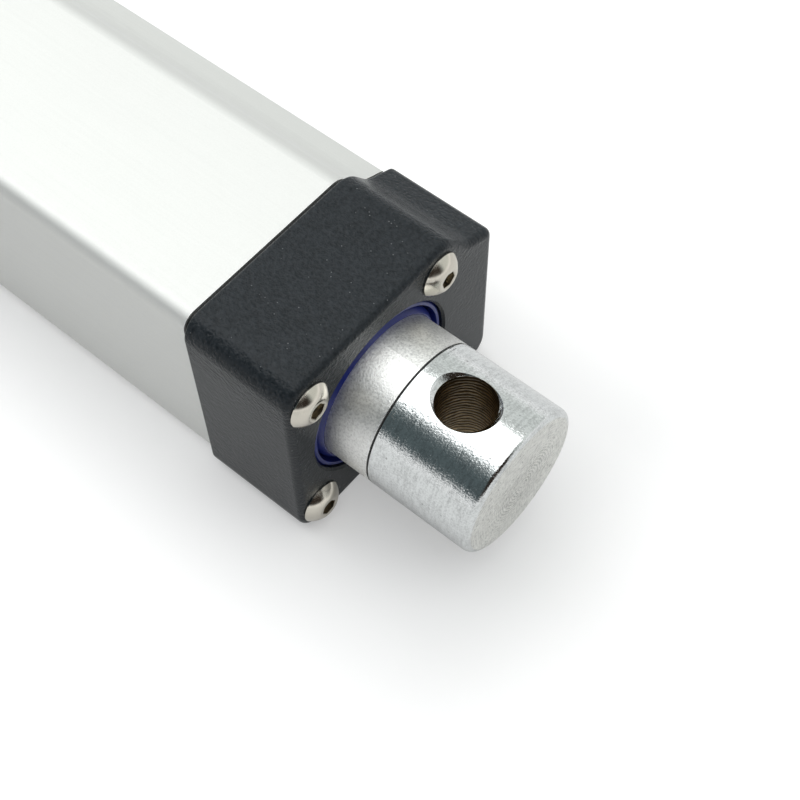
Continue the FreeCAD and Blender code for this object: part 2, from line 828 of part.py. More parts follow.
# Gear housing: block, worm barrel, motor flange and rear pivot lug, with its chambers cut out
def make_gear_housing():
    body = prism(block_outline(housing_rear), housing_length)
    body = body.makeFillet(block_rounding, edges_at(body, housing_rear))
    barrel = motor_cylinder(barrel_radius, block_left, barrel_right)
    end_edges = []
    for edge in barrel.Edges:
        if edge.BoundBox.YMin > barrel_right - 0.001:
            end_edges.append(edge)
    barrel = barrel.makeFillet(barrel_rounding, end_edges)
    reach = (worm_height - barrel_radius, worm_height + barrel_radius)
    barrel = barrel.common(block((housing_rear, housing_front), (block_left, barrel_right), reach))
    flange = motor_cylinder(flange_radius, flange_face, block_left)
    half = lug_height / 2.0
    lug = block((0.0, housing_rear), (-lug_radius, lug_radius), (-half, half))
    lug = lug.fuse(cylinder_z(lug_radius, -half, half))
    pieces = [body, barrel, flange, lug]
    housing = fuse_all(pieces + ear_shapes(flange_face, flange_length))
    floor = housing_rear + rear_wall
    hole = pivot_bore / 2.0
    bush_outer = journal_radius + rear_bush_wall
    way_turn = wheel_front + cable_way_radius
    cuts = [
        cylinder_x(wheel_tip_radius + chamber_gap, floor, housing_front),
        cylinder_x(bush_outer, floor - rear_bush_length, floor),
        motor_cylinder(worm_chamber_radius, motor_face, worm_bush_place),
        motor_cylinder(shaft_radius + running_clearance + worm_bush_wall, worm_bush_place,
                       worm_bush_place + worm_bush_length),
        motor_cylinder(motor_radius, flange_face, motor_face),
        cylinder_z(hole, -half, half),
        cylinder_x(gland_thread_radius, housing_rear, housing_rear + gland_thread_length, gland_side),
        cylinder_x(cable_way_radius, housing_rear, way_turn, gland_side),
        cylinder_y(cable_way_radius, 0.0, gland_side, way_turn, 0.0),
        Part.makeSphere(cable_way_radius, vector(way_turn, gland_side, 0.0)),
    ]
    for side in (1.0, -1.0):
        start = vector(0, 0, side * (half - pivot_chamfer))
        cuts.append(Part.makeCone(hole, hole + pivot_chamfer, pivot_chamfer, start, vector(0, 0, side)))
    for y, z in plate_screw_places():
        cuts.append(cylinder_x(screw_radius, housing_front - plate_screw_depth, housing_front, y, z))
    for x, z in ear_places():
        cuts.append(cylinder_y(screw_radius, flange_face, flange_face + cover_screw_grip, x, z))
    return housing.cut(cuts)


def make_worm_bush():
    inner = shaft_radius + running_clearance
    return motor_ring(inner + worm_bush_wall, inner, worm_bush_place, worm_bush_place + worm_bush_length)


def make_motor_can():
    can = motor_cylinder(motor_radius, motor_end, motor_face)
    can = can.fuse(motor_cylinder(motor_boss_radius, motor_face, motor_face + motor_boss_length))
    can = can.cut(motor_cylinder(motor_radius - motor_wall, motor_end, motor_face - motor_wall))
    bush_start = motor_face - motor_wall
    return can.cut(motor_cylinder(bush_radius, bush_start, motor_face + motor_boss_length)).removeSplitter()


def make_motor_front_bush():
    inner = shaft_radius + running_clearance
    return motor_ring(bush_radius, inner, motor_face - motor_wall, motor_face + motor_boss_length)


def make_motor_magnets():
    outer = motor_radius - motor_wall
    inner = outer - magnet_thickness
    front = core_front + magnet_overhang
    magnets = []
    for turn in (0.0, 180.0):
        start = vector(wheel_middle, front - magnet_length, worm_height)
        axis = vector(0, 1, 0)
        solid = Part.makeCylinder(outer, magnet_length, start, axis, magnet_span)
        magnet = solid.cut(motor_cylinder(inner, front - magnet_length, front))
        magnet.rotate(start, axis, turn)
        magnets.append(magnet)
    return Part.makeCompound(magnets)


def core_radius():
    return motor_radius - motor_wall - magnet_thickness - core_gap


def make_motor_core():
    outer = core_radius()
    front = core_front
    core = motor_ring(outer, shaft_radius, front - core_length, front)
    slots = []
    for index in range(core_slots):
        slot = block(
            (wheel_middle - core_slot_width / 2.0, wheel_middle + core_slot_width / 2.0),
            (front - core_length, front),
            (worm_height + outer - core_slot_depth, worm_height + outer + 1.0),
        )
        slot.rotate(vector(wheel_middle, 0, worm_height), vector(0, 1, 0), 360.0 * index / core_slots)
        slots.append(slot)
    return core.cut(slots)


def make_motor_windings():
    front = core_front
    rear = core_rear
    outer = core_radius() - winding_step
    coils = [
        motor_ring(outer, winding_inner, front, front + winding_length),
        motor_ring(outer, winding_inner, rear - winding_length, rear),
    ]
    return Part.makeCompound(coils)


def make_commutator():
    return motor_ring(commutator_radius, shaft_radius, commutator_front - commutator_length, commutator_front)


def make_motor_shaft():
    return motor_cylinder(shaft_radius, bell_end + 1.0, worm_bush_place + worm_bush_length - 0.5)


def make_motor_brushes():
    """Two carbon brushes in line, either side of the commutator, held in the end bell."""
    front = commutator_front - (commutator_length - brush_width) / 2.0
    brushes = []
    for side in (1.0, -1.0):
        near = wheel_middle + side * (commutator_radius + running_clearance)
        far = near + side * brush_length
        span = (min(near, far), max(near, far))
        half = brush_height / 2.0
        brushes.append(block(span, (motor_end, front), (worm_height - half, worm_height + half)))
    return Part.makeCompound(brushes)


def make_end_bell():
    plug = motor_cylinder(motor_radius - motor_wall, motor_end, motor_end + end_bell_spigot)
    plug = plug.cut(motor_cylinder(motor_radius - 2.0 * motor_wall, motor_end, motor_end + end_bell_spigot))
    bell = fuse_all([motor_cylinder(motor_radius, bell_end, motor_end), plug])
    cuts = [motor_cylinder(bush_radius, bell_end + 1.0, motor_end)]
    for x_range in terminal_spans():
        half = terminal_width / 2.0
        cuts.append(block(x_range, (bell_end, motor_end), (worm_height - half, worm_height + half)))
    return bell.cut(cuts)


def make_end_bell_bush():
    inner = shaft_radius + running_clearance
    return motor_ring(bush_radius, inner, bell_end + 1.0, motor_end)


def terminal_spans():
    half = terminal_thickness / 2.0
    spans = []
    for side in (1.0, -1.0):
        middle = wheel_middle + side * terminal_offset
        spans.append((middle - half, middle + half))
    return spans


def make_motor_terminals():
    half = terminal_width / 2.0
    tabs = []
    for x_range in terminal_spans():
        tabs.append(block(
            x_range, (bell_end - terminal_length, motor_end), (worm_height - half, worm_height + half)
        ))
    return Part.makeCompound(tabs)


def make_motor_pad():
    return motor_ring(motor_radius, motor_pad_inner, cover_inner_end, bell_end)


def make_motor_gasket():
    return motor_ring(flange_radius, motor_radius, cover_mouth, flange_face)


# Motor cover: a cup with three screw ears at its mouth
def make_motor_cover():
    cup = motor_cylinder(flange_radius, cover_outer_end, cover_mouth)
    rim = []
    for edge in cup.Edges:
        if edge.BoundBox.YMax < cover_outer_end + 0.001:
            rim.append(edge)
    cup = cup.makeFillet(cover_rounding, rim)
    ear_start = cover_mouth - ear_thickness
    cover = fuse_all([cup] + ear_shapes(ear_start, ear_thickness))
    cuts = [motor_cylinder(flange_radius - cover_wall, cover_inner_end, cover_mouth)]
    for x, z in ear_places():
        cuts.append(cylinder_y(screw_radius, ear_start, cover_mouth, x, z))
    return cover.cut(cuts)


def make_cover_screws():
    length = ear_thickness + motor_gasket_thickness + cover_screw_grip
    screws = []
    for x, z in ear_places():
        screw = button_screw(length)
        screw.rotate(vector(0, 0, 0), vector(0, 0, 1), -90.0)
        screws.append(placed(screw, x, cover_mouth - ear_thickness, z))
    return Part.makeCompound(screws)


def make_gland_body():
    hexagon = hexagon_x(gland_hex_width, housing_rear - gland_hex_length, housing_rear)
    thread = cylinder_x(gland_thread_radius, housing_rear, housing_rear + gland_thread_length)
    body = fuse_all([hexagon, thread])
    end = housing_rear + gland_thread_length
    body = body.cut(cylinder_x(gland_cord_bore / 2.0, housing_rear - gland_hex_length, end))
    return placed(body, 0.0, gland_side, 0.0)


def make_gland_seal():
    front = housing_rear - gland_hex_length
    inner = gland_cord_bore / 2.0
    seal = ring_x(inner + gland_seal_wall, inner, front - gland_seal_length, front)
    return placed(seal, 0.0, gland_side, 0.0)


def make_gland_nut():
    front = housing_rear - gland_hex_length
    rear = front - gland_nut_length
    nut = cylinder_x(gland_nut_radius, rear, front)
    nut = nut.makeFillet(gland_nut_rounding, edges_at(nut, rear))
    inner = gland_cord_bore / 2.0
    nut = nut.cut([
        cylinder_x(inner, rear, front),
        cylinder_x(inner + gland_seal_wall, front - gland_seal_length, front),
    ])
    return placed(nut, 0.0, gland_side, 0.0)


save("outer_tube", make_outer_tube())
save("front_cap", make_front_cap())
save("cap_screws", make_cap_screws())
save("front_gasket", make_gasket(tube_front))
save("rear_gasket", make_gasket(plate_front))
save("guide_bush", make_guide_bush())
save("wiper_seal", make_wiper_seal())
save("rod_tube", make_rod_tube())
save("rod_end_ring", make_rod_end_ring())
save("rod_end", make_rod_end())
save("drive_nut", make_drive_nut())
save("lead_screw", make_lead_screw())
save("stop_washer", make_stop_washer())
save("stop_nut", make_stop_nut())
save("switch_board", make_switch_board())
save("limit_switches", make_limit_switches())
save("bearing_plate", make_bearing_plate())
save("tube_screws", make_tube_screws())
save("plate_screws", make_plate_screws())
save("housing_gasket", make_housing_gasket())
save("bearing_outer_race", make_bearing_outer_race())
save("bearing_inner_race", make_bearing_inner_race())
save("bearing_balls", make_bearing_balls())
save("bearing_shields", make_bearing_shields())
save("wheel_spacer", make_wheel_spacer())
save("worm_wheel", make_worm_wheel())
save("wheel_key", wheel_key_shape())
save("worm", make_worm())
save("rear_bush", make_rear_bush())
save("gear_housing", make_gear_housing())
save("worm_bush", make_worm_bush())
save("motor_can", make_motor_can())
save("motor_front_bush", make_motor_front_bush())
save("motor_magnets", make_motor_magnets())
save("motor_core", make_motor_core())
save("motor_windings", make_motor_windings())
save("commutator", make_commutator())
save("motor_shaft", make_motor_shaft())
save("motor_brushes", make_motor_brushes())
save("end_bell", make_end_bell())
save("end_bell_bush", make_end_bell_bush())
save("motor_terminals", make_motor_terminals())
save("motor_pad", make_motor_pad())
save("motor_gasket", make_motor_gasket())
save("motor_cover", make_motor_cover())
save("cover_screws", make_cover_screws())
save("gland_body", make_gland_body())
save("gland_seal", make_gland_seal())
save("gland_nut", make_gland_nut())
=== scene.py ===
"""Waterproof linear actuator: finishes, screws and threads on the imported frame, in a plain studio."""

import json
import logging
import math
from dataclasses import dataclass, field
from enum import Enum
from functools import cache
from typing import Callable, ClassVar, Sequence

import bmesh
import bpy
from mathutils import Euler, Matrix, Vector
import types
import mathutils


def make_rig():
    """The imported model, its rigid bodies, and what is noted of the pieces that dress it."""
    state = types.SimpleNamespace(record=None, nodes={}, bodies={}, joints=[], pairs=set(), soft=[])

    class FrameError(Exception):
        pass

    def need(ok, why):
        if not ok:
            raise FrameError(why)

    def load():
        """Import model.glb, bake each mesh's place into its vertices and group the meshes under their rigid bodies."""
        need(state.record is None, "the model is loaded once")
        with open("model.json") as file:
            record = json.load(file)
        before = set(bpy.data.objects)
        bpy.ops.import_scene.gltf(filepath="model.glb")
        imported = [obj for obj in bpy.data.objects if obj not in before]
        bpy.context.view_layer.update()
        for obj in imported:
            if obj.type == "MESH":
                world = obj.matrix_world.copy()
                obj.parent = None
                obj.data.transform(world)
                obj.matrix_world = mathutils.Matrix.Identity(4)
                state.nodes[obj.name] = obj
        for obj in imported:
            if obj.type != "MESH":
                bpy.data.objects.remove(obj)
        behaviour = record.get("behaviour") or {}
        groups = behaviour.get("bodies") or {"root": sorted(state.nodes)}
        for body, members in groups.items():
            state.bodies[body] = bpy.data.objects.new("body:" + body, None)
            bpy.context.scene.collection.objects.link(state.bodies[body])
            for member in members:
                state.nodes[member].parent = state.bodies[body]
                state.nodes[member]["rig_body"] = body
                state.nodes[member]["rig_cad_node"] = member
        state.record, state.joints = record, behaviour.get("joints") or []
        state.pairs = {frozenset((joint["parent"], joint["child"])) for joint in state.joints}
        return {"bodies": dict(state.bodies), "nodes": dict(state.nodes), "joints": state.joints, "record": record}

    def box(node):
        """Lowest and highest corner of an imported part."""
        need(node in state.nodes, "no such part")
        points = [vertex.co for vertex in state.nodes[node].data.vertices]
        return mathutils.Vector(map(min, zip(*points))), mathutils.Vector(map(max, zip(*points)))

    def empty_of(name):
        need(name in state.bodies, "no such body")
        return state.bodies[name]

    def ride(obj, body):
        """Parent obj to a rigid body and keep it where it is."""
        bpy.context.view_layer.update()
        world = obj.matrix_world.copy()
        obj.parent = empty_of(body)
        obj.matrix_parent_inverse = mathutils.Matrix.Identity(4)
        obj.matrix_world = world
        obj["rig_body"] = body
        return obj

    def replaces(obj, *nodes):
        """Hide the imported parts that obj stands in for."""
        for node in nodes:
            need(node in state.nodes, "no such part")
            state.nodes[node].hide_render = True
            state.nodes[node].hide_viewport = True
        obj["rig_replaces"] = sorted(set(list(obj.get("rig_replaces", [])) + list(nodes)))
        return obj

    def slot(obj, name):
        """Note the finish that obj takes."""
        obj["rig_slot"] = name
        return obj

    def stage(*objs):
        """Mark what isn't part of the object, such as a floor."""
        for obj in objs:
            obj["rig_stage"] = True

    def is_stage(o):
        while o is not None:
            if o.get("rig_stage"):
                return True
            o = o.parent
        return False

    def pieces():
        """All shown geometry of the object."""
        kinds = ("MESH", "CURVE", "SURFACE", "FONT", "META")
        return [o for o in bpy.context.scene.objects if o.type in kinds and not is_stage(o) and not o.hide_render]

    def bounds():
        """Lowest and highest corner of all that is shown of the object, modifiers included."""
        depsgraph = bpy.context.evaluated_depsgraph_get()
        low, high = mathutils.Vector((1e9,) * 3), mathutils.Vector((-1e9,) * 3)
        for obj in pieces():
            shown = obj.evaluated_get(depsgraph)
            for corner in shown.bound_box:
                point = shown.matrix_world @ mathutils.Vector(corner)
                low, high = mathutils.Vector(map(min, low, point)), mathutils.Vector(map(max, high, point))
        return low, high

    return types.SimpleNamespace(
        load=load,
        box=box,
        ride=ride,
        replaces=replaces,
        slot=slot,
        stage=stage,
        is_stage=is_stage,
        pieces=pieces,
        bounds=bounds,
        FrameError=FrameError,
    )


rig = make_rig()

LOG = logging.getLogger("actuator")
MM = 0.001
SHARP_ANGLE = math.radians(32.0)
FLOAT = "NodeSocketFloat"
VECTOR = "NodeSocketVector"

Colour = tuple[float, float, float]
Place = tuple[float, float, float]
Span = tuple[float, float]
Ring = Callable[[float], Span]
Socket = bpy.types.NodeSocket


class Body(Enum):
    """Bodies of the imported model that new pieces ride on."""

    HOUSING = "housing"


class Slot(Enum):
    """Material slots of the record."""

    TUBE = "tube_aluminium"
    ROD = "rod_aluminium"
    COAT = "black_coat"
    PLATE = "bright_plate"
    SCREWS = "screw_steel"
    SEAL = "blue_seal"
    RUBBER = "black_rubber"
    STEEL = "machined_steel"
    BRONZE = "bronze"
    COPPER = "copper_winding"
    ACETAL = "white_acetal"
    PLASTIC = "black_plastic"
    BOARD = "green_board"
    FERRITE = "ferrite"


class Head(Enum):
    """Kinds of screw head."""

    BUTTON = "button"
    CYLINDER = "cylinder"


def shaded(colour: Colour, factor: float) -> Colour:
    """Makes a colour darker or paler by a factor on each channel, at most white."""
    return tuple(min(1.0, channel * factor) for channel in colour)


class Graph:
    """Adds and links the nodes of one node tree."""

    def __init__(self, tree: bpy.types.NodeTree) -> None:
        """Keeps the tree that nodes are added to."""
        self.tree = tree

    def add(self, kind: str, inputs: dict[int | str, object] | None = None,
            **settings: object) -> bpy.types.Node:
        """Adds one node.

        Args:
            kind: The node's type name.
            inputs: Sockets or constants for its inputs, by name or number.
            settings: Properties of the node to set.

        Returns:
            The new node.
        """
        node = self.tree.nodes.new(kind)
        for name, value in settings.items():
            setattr(node, name, value)
        for key, value in (inputs or {}).items():
            self.feed(node.inputs[key], value)
        return node

    def feed(self, socket: Socket, value: object) -> None:
        """Links a socket to another one, or sets its constant.

        Args:
            socket: The input to fill.
            value: An output socket, or a constant.
        """
        if isinstance(value, bpy.types.NodeSocket):
            self.tree.links.new(value, socket)
        else:
            socket.default_value = (*value, 1.0) if socket.type == "RGBA" else value

    def math(self, operation: str, *values: object, clamp: bool = False) -> Socket:
        """Adds a Math node for sockets or numbers; clamp keeps the result between 0 and 1."""
        node = self.add("ShaderNodeMath", dict(enumerate(values)), operation=operation, use_clamp=clamp)
        return node.outputs[0]

    def times(self, first: object, second: object) -> Socket:
        """Multiplies two values."""
        return self.math("MULTIPLY", first, second)

    def plus(self, first: object, second: object) -> Socket:
        """Adds two values."""
        return self.math("ADD", first, second)

    def minus(self, first: object, second: object) -> Socket:
        """Takes the second value from the first."""
        return self.math("SUBTRACT", first, second)

    def reach(self, first: Socket, second: Socket) -> Socket:
        """Distance that two distances at a right angle make."""
        squares = [self.math("POWER", value, 2.0) for value in (first, second)]
        return self.math("SQRT", self.plus(*squares))

    def axes(self, place: Socket) -> Sequence[Socket]:
        """Splits coordinates into the sockets of x, y and z."""
        return tuple(self.add("ShaderNodeSeparateXYZ", {0: place}).outputs)

    def range(self, value: object, low: float, high: float, new_low: float, new_high: float,
              smooth: bool = False) -> Socket:
        """Maps a value from one range to another, clamped.

        Args:
            value: The value's socket.
            low: Start of the old range.
            high: End of the old range.
            new_low: Start of the new range.
            new_high: End of the new range.
            smooth: Whether the ends are eased.

        Returns:
            The result's socket.
        """
        kind = "SMOOTHSTEP" if smooth else "LINEAR"
        inputs = {"Value": value, "From Min": low, "From Max": high, "To Min": new_low, "To Max": new_high}
        return self.add("ShaderNodeMapRange", inputs, interpolation_type=kind, clamp=True).outputs["Result"]

    def blend(self, share: object, first: object, second: object) -> Socket:
        """Mixes two colours or their sockets, by the second one's share."""
        return self.add("ShaderNodeMix", {0: share, 6: first, 7: second}, data_type="RGBA").outputs[2]

    def bump(self, height: object, distance: float, normal: Socket | None = None) -> Socket:
        """Adds a Bump node.

        Args:
            height: The height's socket.
            distance: Depth of the relief in metres.
            normal: A normal to build on.

        Returns:
            The new normal's socket.
        """
        inputs = {"Distance": distance, "Strength": 1.0, "Height": height}
        if normal is not None:
            inputs["Normal"] = normal
        return self.add("ShaderNodeBump", inputs).outputs["Normal"]


class Effects:
    """Shader effects that several finishes share, each a node group made once."""

    NOISE_DETAIL: ClassVar[float] = 3.0
    GRAIN_ROUGHNESS: ClassVar[float] = 0.6
    GRAIN_SPAN: ClassVar[Span] = (0.3, 0.7)
    SPECK_EDGE: ClassVar[Span] = (0.12, 0.26)
    DRIFT_SCALE: ClassVar[float] = 420.0

    @staticmethod
    def start(name: str, output: str, inputs: dict[str, str]) -> tuple[bpy.types.NodeTree, Graph]:
        """Makes an empty group with its sockets.

        Args:
            name: The group's name.
            output: Name of its one value output.
            inputs: Names of its inputs, with their socket types.

        Returns:
            The group and a graph to fill it with.
        """
        tree = bpy.data.node_groups.new(name, "ShaderNodeTree")
        for label, kind in inputs.items():
            tree.interface.new_socket(label, in_out="INPUT", socket_type=kind)
        tree.interface.new_socket(output, in_out="OUTPUT", socket_type=FLOAT)
        return tree, Graph(tree)

    @classmethod
    @cache
    def grain(cls) -> bpy.types.NodeTree:
        """Uneven grain from 0 to 1, with a size and a stretch for each axis.

        Returns:
            The node group.
        """
        inputs = {"Vector": VECTOR, "Stretch": VECTOR, "Scale": FLOAT}
        tree, graph = cls.start("surface_grain", "Grain", inputs)
        entry = graph.add("NodeGroupInput").outputs
        factors = {0: entry["Vector"], 1: entry["Stretch"]}
        stretched = graph.add("ShaderNodeVectorMath", factors, operation="MULTIPLY").outputs[0]
        noise = graph.add("ShaderNodeTexNoise", {
            "Vector": stretched, "Scale": entry["Scale"], "Detail": cls.NOISE_DETAIL,
            "Roughness": cls.GRAIN_ROUGHNESS,
        }, noise_dimensions="3D")
        graph.add("NodeGroupOutput", {"Grain": graph.range(noise.outputs[0], *cls.GRAIN_SPAN, 0.0, 1.0)})
        return tree

    @classmethod
    @cache
    def specks(cls) -> bpy.types.NodeTree:
        """Mask of small round specks, of which only a share is kept.

        Returns:
            The node group.
        """
        tree, graph = cls.start("small_specks", "Mask", {"Vector": VECTOR, "Scale": FLOAT, "Share": FLOAT})
        entry = graph.add("NodeGroupInput").outputs
        inputs = {"Vector": entry["Vector"], "Scale": entry["Scale"]}
        cells = graph.add("ShaderNodeTexVoronoi", inputs, feature="F1", voronoi_dimensions="3D").outputs
        pick = graph.add("ShaderNodeSeparateColor", {0: cells["Color"]}).outputs[0]
        kept = graph.math("LESS_THAN", pick, entry["Share"])
        core = graph.range(cells["Distance"], *cls.SPECK_EDGE, 1.0, 0.0, smooth=True)
        graph.add("NodeGroupOutput", {"Mask": graph.times(kept, core)})
        return tree

    @classmethod
    @cache
    def tool_marks(cls) -> bpy.types.NodeTree:
        """Ridges that repeat along a distance and wander a little, from 0 to 1.

        Returns:
            The node group.
        """
        inputs = {"Vector": VECTOR, "Distance": FLOAT, "Spacing": FLOAT, "Wander": FLOAT}
        tree, graph = cls.start("tool_marks", "Ridge", inputs)
        entry = graph.add("NodeGroupInput").outputs
        noise = graph.add("ShaderNodeTexNoise", {
            "Vector": entry["Vector"], "Scale": cls.DRIFT_SCALE, "Detail": cls.NOISE_DETAIL,
        }, noise_dimensions="3D")
        turns = graph.math("DIVIDE", entry["Distance"], entry["Spacing"])
        drift = graph.times(noise.outputs[0], entry["Wander"])
        wave = graph.math("SINE", graph.times(graph.plus(turns, drift), math.tau))
        graph.add("NodeGroupOutput", {"Ridge": graph.range(wave, -1.0, 1.0, 0.0, 1.0)})
        return tree


@dataclass(frozen=True)
class Canvas:
    """What a finish works on: a material's graph, its shader and its coordinates."""

    graph: Graph
    shader: bpy.types.Node
    place: Socket

    def effect(self, group: bpy.types.NodeTree, **values: object) -> Socket:
        """Places a shared effect's group, with its inputs besides the coordinates."""
        inputs = {"Vector": self.place, **values}
        return self.graph.add("ShaderNodeGroup", inputs, node_tree=group).outputs[0]

    def grain(self, scale: float, stretch: Place = (1.0, 1.0, 1.0)) -> Socket:
        """Places the grain: scale in grains a metre, and a small stretch draws it out along an axis."""
        return self.effect(Effects.grain(), Scale=scale, Stretch=stretch)

    def specks(self, scale: float, share: float) -> Socket:
        """Places the specks: scale in cells a metre, and the share of cells with a speck."""
        return self.effect(Effects.specks(), Scale=scale, Share=share)

    def marks(self, distance: Socket, spacing: float, wander: float) -> Socket:
        """Places tool marks along a distance, with a spacing in metres and a wander in spacings."""
        return self.effect(Effects.tool_marks(), Distance=distance, Spacing=spacing, Wander=wander)

    def paint(self, colour: Socket) -> None:
        """Links the colour of the surface."""
        self.graph.feed(self.shader.inputs["Base Color"], colour)

    def roughen(self, value: Socket, middle: float, spread: Span) -> None:
        """Spreads the roughness below and above a middle, over a value from 0 to 1."""
        rough = self.graph.range(value, 0.0, 1.0, middle - spread[0], middle + spread[1])
        self.graph.feed(self.shader.inputs["Roughness"], rough)

    def emboss(self, height: Socket, relief: float) -> None:
        """Raises the surface by a height, to a relief in metres."""
        self.graph.feed(self.shader.inputs["Normal"], self.graph.bump(height, relief))


@dataclass(frozen=True)
class Finish:
    """A finish: its slot, main values and the material that is made of them."""

    slot: Slot
    colour: Colour
    roughness: float
    metallic: float = 0.0

    @cache
    def material(self) -> bpy.types.Material:
        """The finish's material, made at its first use.

        Returns:
            The material.
        """
        made = bpy.data.materials.new(f"finish_{self.slot.value}")
        made.use_nodes = True
        made.diffuse_color = (*self.colour, 1.0)
        made.node_tree.nodes.clear()
        graph = Graph(made.node_tree)
        shader = graph.add("ShaderNodeBsdfPrincipled", {"Metallic": self.metallic})
        graph.add("ShaderNodeOutputMaterial", {"Surface": shader.outputs[0]})
        place = graph.add("ShaderNodeTexCoord").outputs["Object"]
        self.dress(Canvas(graph, shader, place))
        return made

    def tone(self, graph: Graph, share: Socket, shades: Span) -> Socket:
        """The finish's colour between two shades of it, which are factors on the colour."""
        return graph.blend(share, *(shaded(self.colour, factor) for factor in shades))

    def dress(self, canvas: Canvas) -> None:
        """Adds what the finish shows over the surface to the material's canvas."""
        raise NotImplementedError


@dataclass(frozen=True)
class DrawnMetal(Finish):
    """Metal with lines drawn out along one axis and a fine grain between them."""

    line_stretch: Place = (0.015, 1.0, 1.0)
    line_scale: float = 2400.0
    grain_scale: float = 5200.0
    grain_share: float = 0.7
    roughness_spread: Span = (0.05, 0.05)
    shades: Span = (0.95, 1.05)
    relief: float = 0.000004

    def dress(self, canvas: Canvas) -> None:
        """Adds drawn lines to the colour, the roughness and the relief.

        Args:
            canvas: The material's canvas.
        """
        graph = canvas.graph
        lines = canvas.grain(self.line_scale, self.line_stretch)
        fine = canvas.grain(self.grain_scale)
        canvas.paint(self.tone(graph, lines, self.shades))
        canvas.roughen(fine, self.roughness, self.roughness_spread)
        canvas.emboss(graph.plus(lines, graph.times(fine, self.grain_share)), self.relief)


@dataclass(frozen=True)
class BlastedMetal(Finish):
    """Metal with the fine matte grain of bead blasting."""

    grain_scale: float = 3600.0
    full_grain: float = 0.75
    cloud_scale: float = 260.0
    cloud_share: float = 0.15
    shades: Span = (0.70, 1.08)
    roughness_spread: Span = (0.06, 0.08)
    relief: float = 0.000012

    def dress(self, canvas: Canvas) -> None:
        """Adds the blasted grain and soft clouds in its shade.

        Args:
            canvas: The material's canvas.
        """
        graph = canvas.graph
        pits = canvas.grain(self.grain_scale)
        clouds = graph.times(canvas.grain(self.cloud_scale), self.cloud_share)
        raised = graph.range(pits, 0.0, self.full_grain, 0.0, 1.0)
        shade = graph.plus(graph.times(raised, 1.0 - self.cloud_share), clouds)
        canvas.paint(self.tone(graph, shade, self.shades))
        canvas.roughen(pits, self.roughness, self.roughness_spread)
        canvas.emboss(pits, self.relief)


@dataclass(frozen=True)
class CoatedMetal(Finish):
    """Baked black coat with an orange peel, and pale specks that are painted glints."""

    peel_scale: float = 2300.0
    peel_relief: float = 0.000072
    peel_heights: Span = (6.0 * MM, 14.0 * MM)
    peel_low: float = 0.3
    peel_lift: Colour = (0.0140, 0.0140, 0.0150)
    peel_dip: float = 0.6
    cloud_scale: float = 190.0
    cloud_tones: Span = (0.35, 0.65)
    glint_scale: float = 2600.0
    glint_share: float = 0.05
    # Painted glints: the pale colour of the small specks in the coat.
    glint_colour: Colour = (0.20, 0.21, 0.22)
    roughness_spread: Span = (0.04, 0.05)
    specular: float = 0.21

    def dress(self, canvas: Canvas) -> None:
        """Adds the orange peel, which is stronger on top, and the specks, painted pale as glints.

        Args:
            canvas: The material's canvas.
        """
        graph = canvas.graph
        canvas.shader.inputs["Specular IOR Level"].default_value = self.specular
        peel = canvas.grain(self.peel_scale)
        cloud = canvas.grain(self.cloud_scale)
        specks = canvas.specks(self.glint_scale, self.glint_share)
        height = graph.axes(canvas.place)[2]
        share = graph.range(height, *self.peel_heights, self.peel_low, 1.0, smooth=True)
        rise = graph.times(graph.minus(peel, 0.5), share)
        tone = graph.math("ADD", rise, graph.range(cloud, 0.0, 1.0, *self.cloud_tones), clamp=True)
        deep = shaded(self.colour, self.peel_dip)
        pale = tuple(channel + lift for channel, lift in zip(self.colour, self.peel_lift))
        coat = graph.blend(tone, deep, pale)
        # The specks are painted pale: painted glints on the coat.
        canvas.paint(graph.blend(specks, coat, self.glint_colour))
        canvas.roughen(cloud, self.roughness, self.roughness_spread)
        canvas.emboss(graph.plus(graph.times(peel, share), specks), self.peel_relief)


